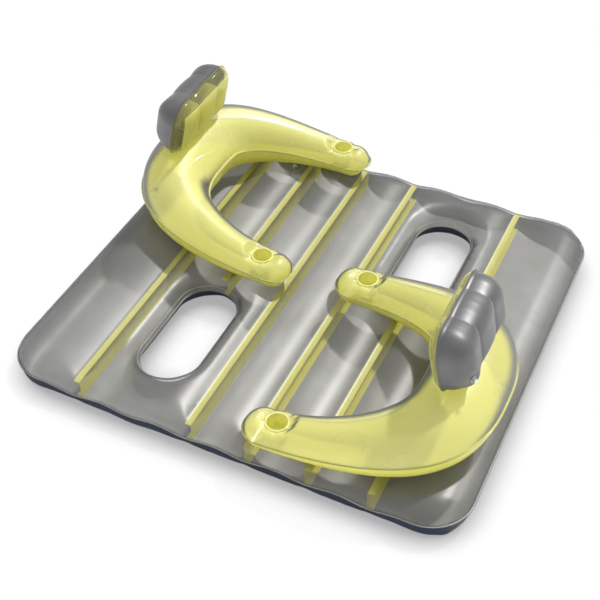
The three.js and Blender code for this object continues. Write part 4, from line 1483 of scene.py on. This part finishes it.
@dataclass
class CupHolder:
    """A thin sleeve with a soft rolled lip that hangs in an arm end."""

    workshop: Workshop
    finishes: Finishes
    label: str
    x: float
    y: float
    lip_z: float = 0.2449
    bore: float = 0.036
    wall: float = 0.001
    depth: float = 0.062
    floor: float = 0.0014
    flare: float = 0.009
    lip: float = 0.006
    lip_rise: float = 0.004
    lip_shoulder: tuple[float, float, float] = (0.001, 0.0005, 0.85)
    lip_stops: tuple[int, int] = (12, 7)
    lip_gap: float = 0.0001
    foot_round: float = 0.003
    floor_round: float = 0.002
    wall_levels: tuple[float, ...] = (0.8, 0.6, 0.4, 0.2, 0.05)
    wrinkle: tuple[float, float] = (0.45, 0.55)
    wrinkle_radius: float = 0.1
    wrinkle_wave: float = 0.07
    wrinkle_power: float = 1.3
    lip_wrinkle: float = 0.0003
    lip_start: float = 0.0005
    facets: int = 72

    def profile(self) -> list[tuple[float, float]]:
        """Corners of the turned section as radius and height, from the outer floor to the inner one."""
        outer, inner = self.bore + self.wall, self.bore
        points = [(0.0, -self.depth), (outer - self.foot_round, -self.depth)]
        points += [(outer, -self.depth + self.foot_round)]
        points += [(outer, -self.depth * s) for s in self.wall_levels] + [(outer, -self.lip_gap)]
        stops, used = self.lip_stops
        turns = np.linspace(-math.pi / 2, math.pi, stops)
        half = self.lip_rise / 2
        middle = outer + self.lip - half
        points += [(middle + half * math.cos(a), half + half * math.sin(a)) for a in turns[:used]]
        outward, inward, share = self.lip_shoulder
        points += [(outer + outward, self.lip_rise), (inner + inward, self.lip_rise * share)]
        points.append((inner, self.lip_rise / 2))
        points += [(inner, -self.depth * s) for s in self.wall_levels[::-1]]
        base = self.floor - self.depth
        points += [(inner, base + self.floor_round), (inner - self.floor_round, base), (0.0, base)]
        return points

    def build(self) -> bpy.types.Object:
        """Turns the sleeve, wrinkles its wall, and dresses it."""
        section = self.profile()
        angles = np.arange(self.facets) * 2 * math.pi / self.facets
        seed = sum(ord(letter) for letter in self.label)
        wobble = ripple(angles * self.wrinkle_radius, self.wrinkle_wave, seed)
        even, uneven = self.wrinkle
        points, rows = [], []
        for radius, height in section:
            if radius == 0:
                rows.append([len(points)])
                points.append((self.x, self.y, self.lip_z + height))
                continue
            depth = min(max(-height / self.depth, 0), 1)
            rise = self.lip_wrinkle if height > self.lip_start else 0.0
            rows.append(list(range(len(points), len(points) + self.facets)))
            for a, w in zip(angles, wobble):
                r = radius + self.flare * depth**self.wrinkle_power * (even + uneven * w)
                z = self.lip_z + height + w * rise
                points.append((self.x + r * math.cos(a), self.y + r * math.sin(a), z))
        faces = []
        for low, high in zip(rows, rows[1:]):
            for k in range(self.facets):
                n = (k + 1) % self.facets
                if len(low) == 1:
                    faces.append((low[0], high[n], high[k]))
                elif len(high) == 1:
                    faces.append((low[k], low[n], high[0]))
                else:
                    faces.append((low[k], low[n], high[n], high[k]))
        made = self.workshop.solid(f"cup_sleeve_{self.label}", points, faces, self.finishes.cup)
        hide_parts(f"cup_holder_{self.label}")
        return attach(made, "lounger")


# Pillows


@dataclass
class Pillow:
    """A three-lobed pillow that stands on a backrest, drawn with its seam in its own plane X = 0."""

    workshop: Workshop
    finishes: Finishes
    index: int
    turn: Turn
    foot: tuple[float, float, float] = (0.71039, -0.360, 0.43213)
    lean: float = math.radians(12)
    width: float = 0.420
    height: float = 0.232
    scallop: float = 0.005
    corner: float = 0.085
    back_depth: float = 0.102
    front_depth: float = 0.046
    roll_depth: float = 0.078
    valley: float = 0.007
    crease: float = 0.004
    crease_width: float = 0.007
    flange: float = 0.007
    border: float = 0.026
    film_step: float = 0.00075
    across: int = 108
    up: int = 60
    side_crowding: float = 1.25
    end_crowding: float = 1.4
    valley_inset: float = 0.018
    valley_ease: float = 0.05
    pleat: float = 0.0016
    pleat_wave: float = 0.022
    pleat_start: float = 0.004
    pleat_fade: float = 0.012
    foot_gap: float = 0.0008
    foot_ease: float = 1.1
    drop_reach: float = 0.01
    drop_steps: int = 61
    web_gap: float = 0.0013
    web_foot_part: int = 5
    edge_part: int = 6
    back_seed: int = 300
    front_seed: int = 400

    def matrix(self) -> Matrix:
        """The pillow's place on the seat at +X."""
        return Matrix.Translation(self.foot) @ Matrix.Rotation(-self.lean, 4, "Y")

    def lobe(self, y: Array) -> Array:
        """Rise of the three lobes across the pillow, from 0 in a valley to 1."""
        width = self.width / 3
        middle = np.clip(np.round(y / width), -1, 1) * width
        half, rise = width / 2, self.valley
        radius = (half * half + rise * rise) / (2 * rise)
        off = np.minimum(np.abs(y - middle), half)
        return (np.sqrt(radius * radius - off * off) - (radius - rise)) / rise

    def parting(self, y: Array) -> Array:
        """Depth of the two valleys: a shallow dip between the lobes and a narrow crease at the divider."""
        from_valley = np.abs(np.abs(y) - self.width / 6)
        return self.valley * (1 - self.lobe(y)) + self.crease * np.exp(-from_valley / self.crease_width)

    def drop(self, film: BVHTree) -> Callable[[Array], Array]:
        """How far the tube's film falls beside the middle of the pillow's foot, in the pillow's own frame."""
        place = self.matrix()
        back = place.inverted()
        sign = self.turn.value
        down = place.to_3x3() @ Vector((0, 0, -1))
        down = Vector((sign * down.x, sign * down.y, down.z))
        reach = self.width / 2 + self.drop_reach
        ys = np.linspace(-reach, reach, self.drop_steps)
        heights = []
        for y in ys:
            best = -1.0
            for x in (-self.film_step * 2, 0.0, self.film_step * 2):
                start = place @ Vector((x, y, self.height))
                found = film.ray_cast(Vector((sign * start.x, sign * start.y, start.z)), down)[0]
                if found is not None:
                    best = max(best, (back @ Vector((sign * found.x, sign * found.y, found.z))).z)
            heights.append(best)
        table = np.array(heights)
        return lambda y: np.interp(y, ys, table)

    def surface(self, side: Side, ground: Callable[[Array], Array], seed: int) -> tuple[Surface, Array]:
        """One film of the pillow in its own frame.

        Args:
            side: UPPER for the back film, LOWER for the front.
            ground: How far the tube's film falls at each place across the pillow.
            seed: Picks the creases.

        Returns:
            The film's outer face and the table of its grid points.
        """
        depth = self.back_depth if side is Side.UPPER else self.front_depth
        u = np.linspace(-1, 1, self.across + 1)
        flat_y = self.width / 2 * np.sign(u) * (1 - (1 - np.abs(u)) ** self.side_crowding)
        v = np.linspace(-1, 1, self.up + 1)
        flat_z = self.height / 2 * np.sign(v) * (1 - (1 - np.abs(v)) ** self.end_crowding)
        grid_y, grid_z = np.meshgrid(flat_y, flat_z, indexing="ij")
        share = grid_z / self.height + 0.5
        y, z = round_corner(grid_y, grid_z, self.width / 2, self.height / 2, self.corner)
        scallop = self.scallop * (self.lobe(y) - 1) * share
        level = ground(y) + self.flange + self.foot_gap
        foot = level * (1 - ease(share * self.foot_ease))
        from_side = self.width / 2 - np.abs(grid_y)
        from_end = self.height / 2 - np.abs(grid_z)
        full = roll(from_side, self.roll_depth) * roll(from_end, self.roll_depth)
        inner = ease((from_end - self.valley_inset) / self.valley_ease)
        valley = self.parting(y) * depth / self.back_depth * inner
        near = np.minimum(from_side, from_end)
        turned_x = np.where(from_side < from_end, grid_z, grid_y)
        fade = ease(near / self.pleat_start) * np.exp(-near / self.pleat_fade)
        pleat = ripple(turned_x, self.pleat_wave, seed) * fade * self.pleat
        bulge = np.maximum(full * (depth - valley) + pleat, 0)
        x = side.value * (self.film_step + bulge)
        points = np.stack([x, y, z + self.height / 2 + scallop + foot], axis=2)
        ids = np.arange(points.shape[0] * points.shape[1]).reshape(points.shape[:2])
        points = points.reshape(-1, 3)
        loop = edge_loop(ids)
        edge = points[loop]
        along = np.roll(edge, -1, axis=0) - np.roll(edge, 1, axis=0)
        along[:, 0] = 0
        along /= np.linalg.norm(along, axis=1, keepdims=True)
        outer = edge + np.stack([np.zeros(len(edge)), along[:, 2], -along[:, 1]], axis=1) * self.flange
        extra = len(points) + np.arange(len(loop))
        band = grid_quads(around(np.stack([loop, extra])))
        made = Surface(np.concatenate([points, outer]), np.concatenate([grid_quads(ids), band]))
        return made.facing((side.value, 0, 0)), ids

    def split(self, front: Surface, ids: Array) -> tuple[Surface, Surface]:
        """Parts the front into the clear band at its edge and the yellow panel inside it."""
        y = np.abs(np.linspace(-1, 1, self.across + 1))
        z = np.linspace(-1, 1, self.up + 1)
        side = self.width / 2 * (1 - y) ** self.side_crowding
        top = self.height / 2 * (1 - np.abs(z)) ** self.end_crowding
        top[z < 0] = self.height
        band = np.minimum(side[:, None], top[None, :]) < self.border
        flag = np.ones(len(front.points), bool)
        flag[ids.ravel()] = band.ravel()
        outer = flag[front.quads].any(1)
        return Surface(front.points, front.quads[outer]), Surface(front.points, front.quads[~outer])

    def world(self, points: Array) -> Array:
        """Points from the pillow's own frame in its place on the lounger."""
        m = np.array(self.matrix())
        placed = points @ m[:3, :3].T + m[:3, 3]
        sign = self.turn.value
        return placed * np.array([sign, sign, 1])

    def column(self, side: int, back: Surface, ids: Array) -> int:
        """The grid column that runs along one of the valleys."""
        return int(np.argmin(np.abs(back.points[ids[:, self.up // 2], 1] - side * self.width / 6)))

    def web(self, side: int, front: Surface, back: Surface, ids: Array) -> bpy.types.Object:
        """A strip between the two films along one of the valleys."""
        first, last = self.up // self.web_foot_part, self.up - self.up // self.edge_part
        rows = ids[self.column(side, back, ids), first:last]
        shy = np.array([self.web_gap, 0, 0])
        near, far = front.points[rows] + shy, back.points[rows] - shy
        y = (near[0][1] + far[0][1]) / 2
        points = [(p[0], y, p[2]) for pair in zip(near, far) for p in pair]
        quads = [(2 * k, 2 * k + 1, 2 * k + 3, 2 * k + 2) for k in range(len(near) - 1)]
        sheet = Surface(np.array(points), np.array(quads))
        sheet.points = self.world(sheet.points)
        name = "left" if side > 0 else "right"
        made = self.workshop.shell(f"pillow_{self.index}_{name}_divider", sheet, self.finishes.rib)
        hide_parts(f"pillow_{self.index}_{name}_web")
        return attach(made, f"pillow_{self.index}")

    def build(self, welds: Welds, film: BVHTree) -> None:
        """Builds and dresses the pillow's pieces."""
        looks = self.finishes
        body = f"pillow_{self.index}"
        ground = self.drop(film)
        back, ids = self.surface(Side.UPPER, ground, self.back_seed + self.index)
        front, _ = self.surface(Side.LOWER, ground, self.front_seed + self.index)
        margin = self.up // self.edge_part
        for side in (-1, 1):
            self.web(side, front, back, ids)
            rows = ids[self.column(side, back, ids), margin : self.up - margin]
            line = back.points[rows] + np.array([LINE_LIFT, 0, 0])
            bead = welds.bead(f"{body}_valley_weld_{(side + 3) // 2}", self.world(line), False, looks.weld)
            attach(bead, body)
        valve = ValveSeat(f"{body}_valve")
        back.points = self.world(back.points)
        front.points = self.world(front.points)
        rear = self.workshop.shell(f"{body}_rear", valve.open(back), looks.graphite)
        edge, panel = self.split(front, ids)
        border = self.workshop.shell(f"{body}_border", edge, looks.clear_yellow)
        face = self.workshop.shell(f"{body}_face", panel, looks.panel)
        for piece, node, slot in (
            (rear, f"{body}_back_film", "silver_film"),
            (border, f"{body}_front_film", "clear_yellow_film"),
            (face, f"{body}_front_film", "clear_yellow_film"),
        ):
            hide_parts(node)
            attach(piece, body)
            log.info("%s: %d faces", piece.name, len(piece.data.polygons))
        valve.dress(looks)


# Studio


@dataclass
class Studio:
    """Floor, light and camera."""

    workshop: Workshop
    lens: float = 67.1
    sensor: float = 36.0
    camera_at: tuple[float, float, float] = (1.304, -2.867, 3.137)
    target: tuple[float, float, float] = (-0.047, -0.0285, 0.075)
    sun_from: tuple[float, float, float] = (0.22, 0.5, 0.84)
    sun_strength: float = 2.9
    sun_angle: float = math.radians(3.0)
    fill: float = 0.78
    sun_colour: Colour = (1.0, 0.99, 0.96)
    sky_colour: Colour = (0.98, 0.99, 1.0)
    # Painted shade on the floor: the darkest level of its emission near the lounger, how far the ambient
    # occlusion reaches, its samples, and the occlusion range the shade is spread over.
    painted_shade: float = 0.42
    painted_shade_reach: float = 0.16
    painted_shade_samples: int = 16
    painted_shade_range: tuple[float, float] = (0.35, 0.85)
    floor_half: float = 30.0
    floor_z: float = -0.0005
    floor_paint: Colour = (0.86, 0.86, 0.86)
    # The share of the floor that the camera sees as emission with the painted shade.
    floor_white: float = 0.94

    def build(self) -> None:
        """Builds the whole studio."""
        self._floor()
        self._light()
        self._camera()
        log.info("studio ready")

    @staticmethod
    def _white_to_sight(tree: bpy.types.NodeTree) -> bpy.types.NodeSocket:
        """1 for rays from the camera or passed on by glass, else 0."""
        path = tree.nodes.new("ShaderNodeLightPath").outputs
        return solve(tree, "MAXIMUM", path["Is Camera Ray"], path["Is Transmission Ray"])

    def _floor(self) -> None:
        """A wide pale floor. Seen from the camera it is mostly emission, darkened near the lounger by a
        painted shade from ambient occlusion; a small share of diffuse paint keeps the sun's shadow.
        """
        mesh = bpy.data.meshes.new("floor")
        z, half = self.floor_z, self.floor_half
        corners = [(-half, -half, z), (half, -half, z), (half, half, z), (-half, half, z)]
        mesh.from_pydata(corners, [], [(0, 1, 2, 3)])
        floor = self.workshop.link("floor", mesh)
        made = bpy.data.materials.new("floor_paint")
        tree = bare_tree(made)
        paint = add_node(tree, "ShaderNodeBsdfDiffuse", {"Color": (*self.floor_paint, 1)})
        # Painted shade: ambient occlusion darkens the floor's emission near the lounger.
        near = add_node(tree, "ShaderNodeAmbientOcclusion", {"Distance": self.painted_shade_reach})
        near.samples = self.painted_shade_samples
        low, high = self.painted_shade_range
        ramp = {"Value": near.outputs["AO"], "From Min": low, "From Max": high, "To Min": self.painted_shade}
        painted_shade = add_node(tree, "ShaderNodeMapRange", ramp).outputs["Result"]
        white = add_node(tree, "ShaderNodeEmission", {"Color": painted_shade})
        share = solve(tree, "MULTIPLY", self._white_to_sight(tree), self.floor_white)
        shade = mixed(tree, share, paint.outputs["BSDF"], white.outputs["Emission"])
        add_node(tree, "ShaderNodeOutputMaterial", {"Surface": shade})
        mesh.materials.append(made)

    def _light(self) -> None:
        """A high sun with soft edges and a pale sky."""
        lamp = bpy.data.lights.new("sun", "SUN")
        lamp.energy = self.sun_strength
        lamp.angle = self.sun_angle
        lamp.color = self.sun_colour
        sun = self.workshop.link("sun", lamp)
        sun.rotation_euler = Vector(self.sun_from).to_track_quat("Z", "Y").to_euler()
        world = bpy.data.worlds.new("sky")
        bpy.context.scene.world = world
        tree = bare_tree(world)
        sky = {"Color": (*self.sky_colour, 1), "Strength": self.fill}
        soft = add_node(tree, "ShaderNodeBackground", sky).outputs["Background"]
        white = add_node(tree, "ShaderNodeBackground", {"Color": (1, 1, 1, 1)}).outputs["Background"]
        shade = mixed(tree, self._white_to_sight(tree), soft, white)
        add_node(tree, "ShaderNodeOutputWorld", {"Surface": shade})

    def _camera(self) -> None:
        """The camera at the photograph's place."""
        data = bpy.data.cameras.new("camera")
        data.lens = self.lens
        data.sensor_width = self.sensor
        camera = self.workshop.link("camera", data)
        camera.location = self.camera_at
        sight = Vector(self.target) - Vector(self.camera_at)
        camera.rotation_euler = sight.to_track_quat("-Z", "Y").to_euler()
        bpy.context.scene.camera = camera


def main() -> None:
    """Builds the studio and the lounger's pieces in order."""
    logging.basicConfig(level=logging.INFO, format="%(name)s: %(message)s")
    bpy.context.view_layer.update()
    scene = bpy.context.scene
    scene.view_settings.view_transform = "Standard"
    scene.cycles.transparent_max_bounces = CLEAR_LAYERS
    workshop, looks = Workshop(), Finishes()
    welds = Welds(workshop)
    Studio(workshop).build()
    AirMat(workshop, looks).build(welds)
    for index, turn in ((1, Turn.FIRST), (2, Turn.SECOND)):
        film = Backrest(workshop, looks, index, turn).build(welds)
        Pillow(workshop, looks, index, turn).build(welds, film)


if __name__ == "__main__":
    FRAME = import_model()
    main()
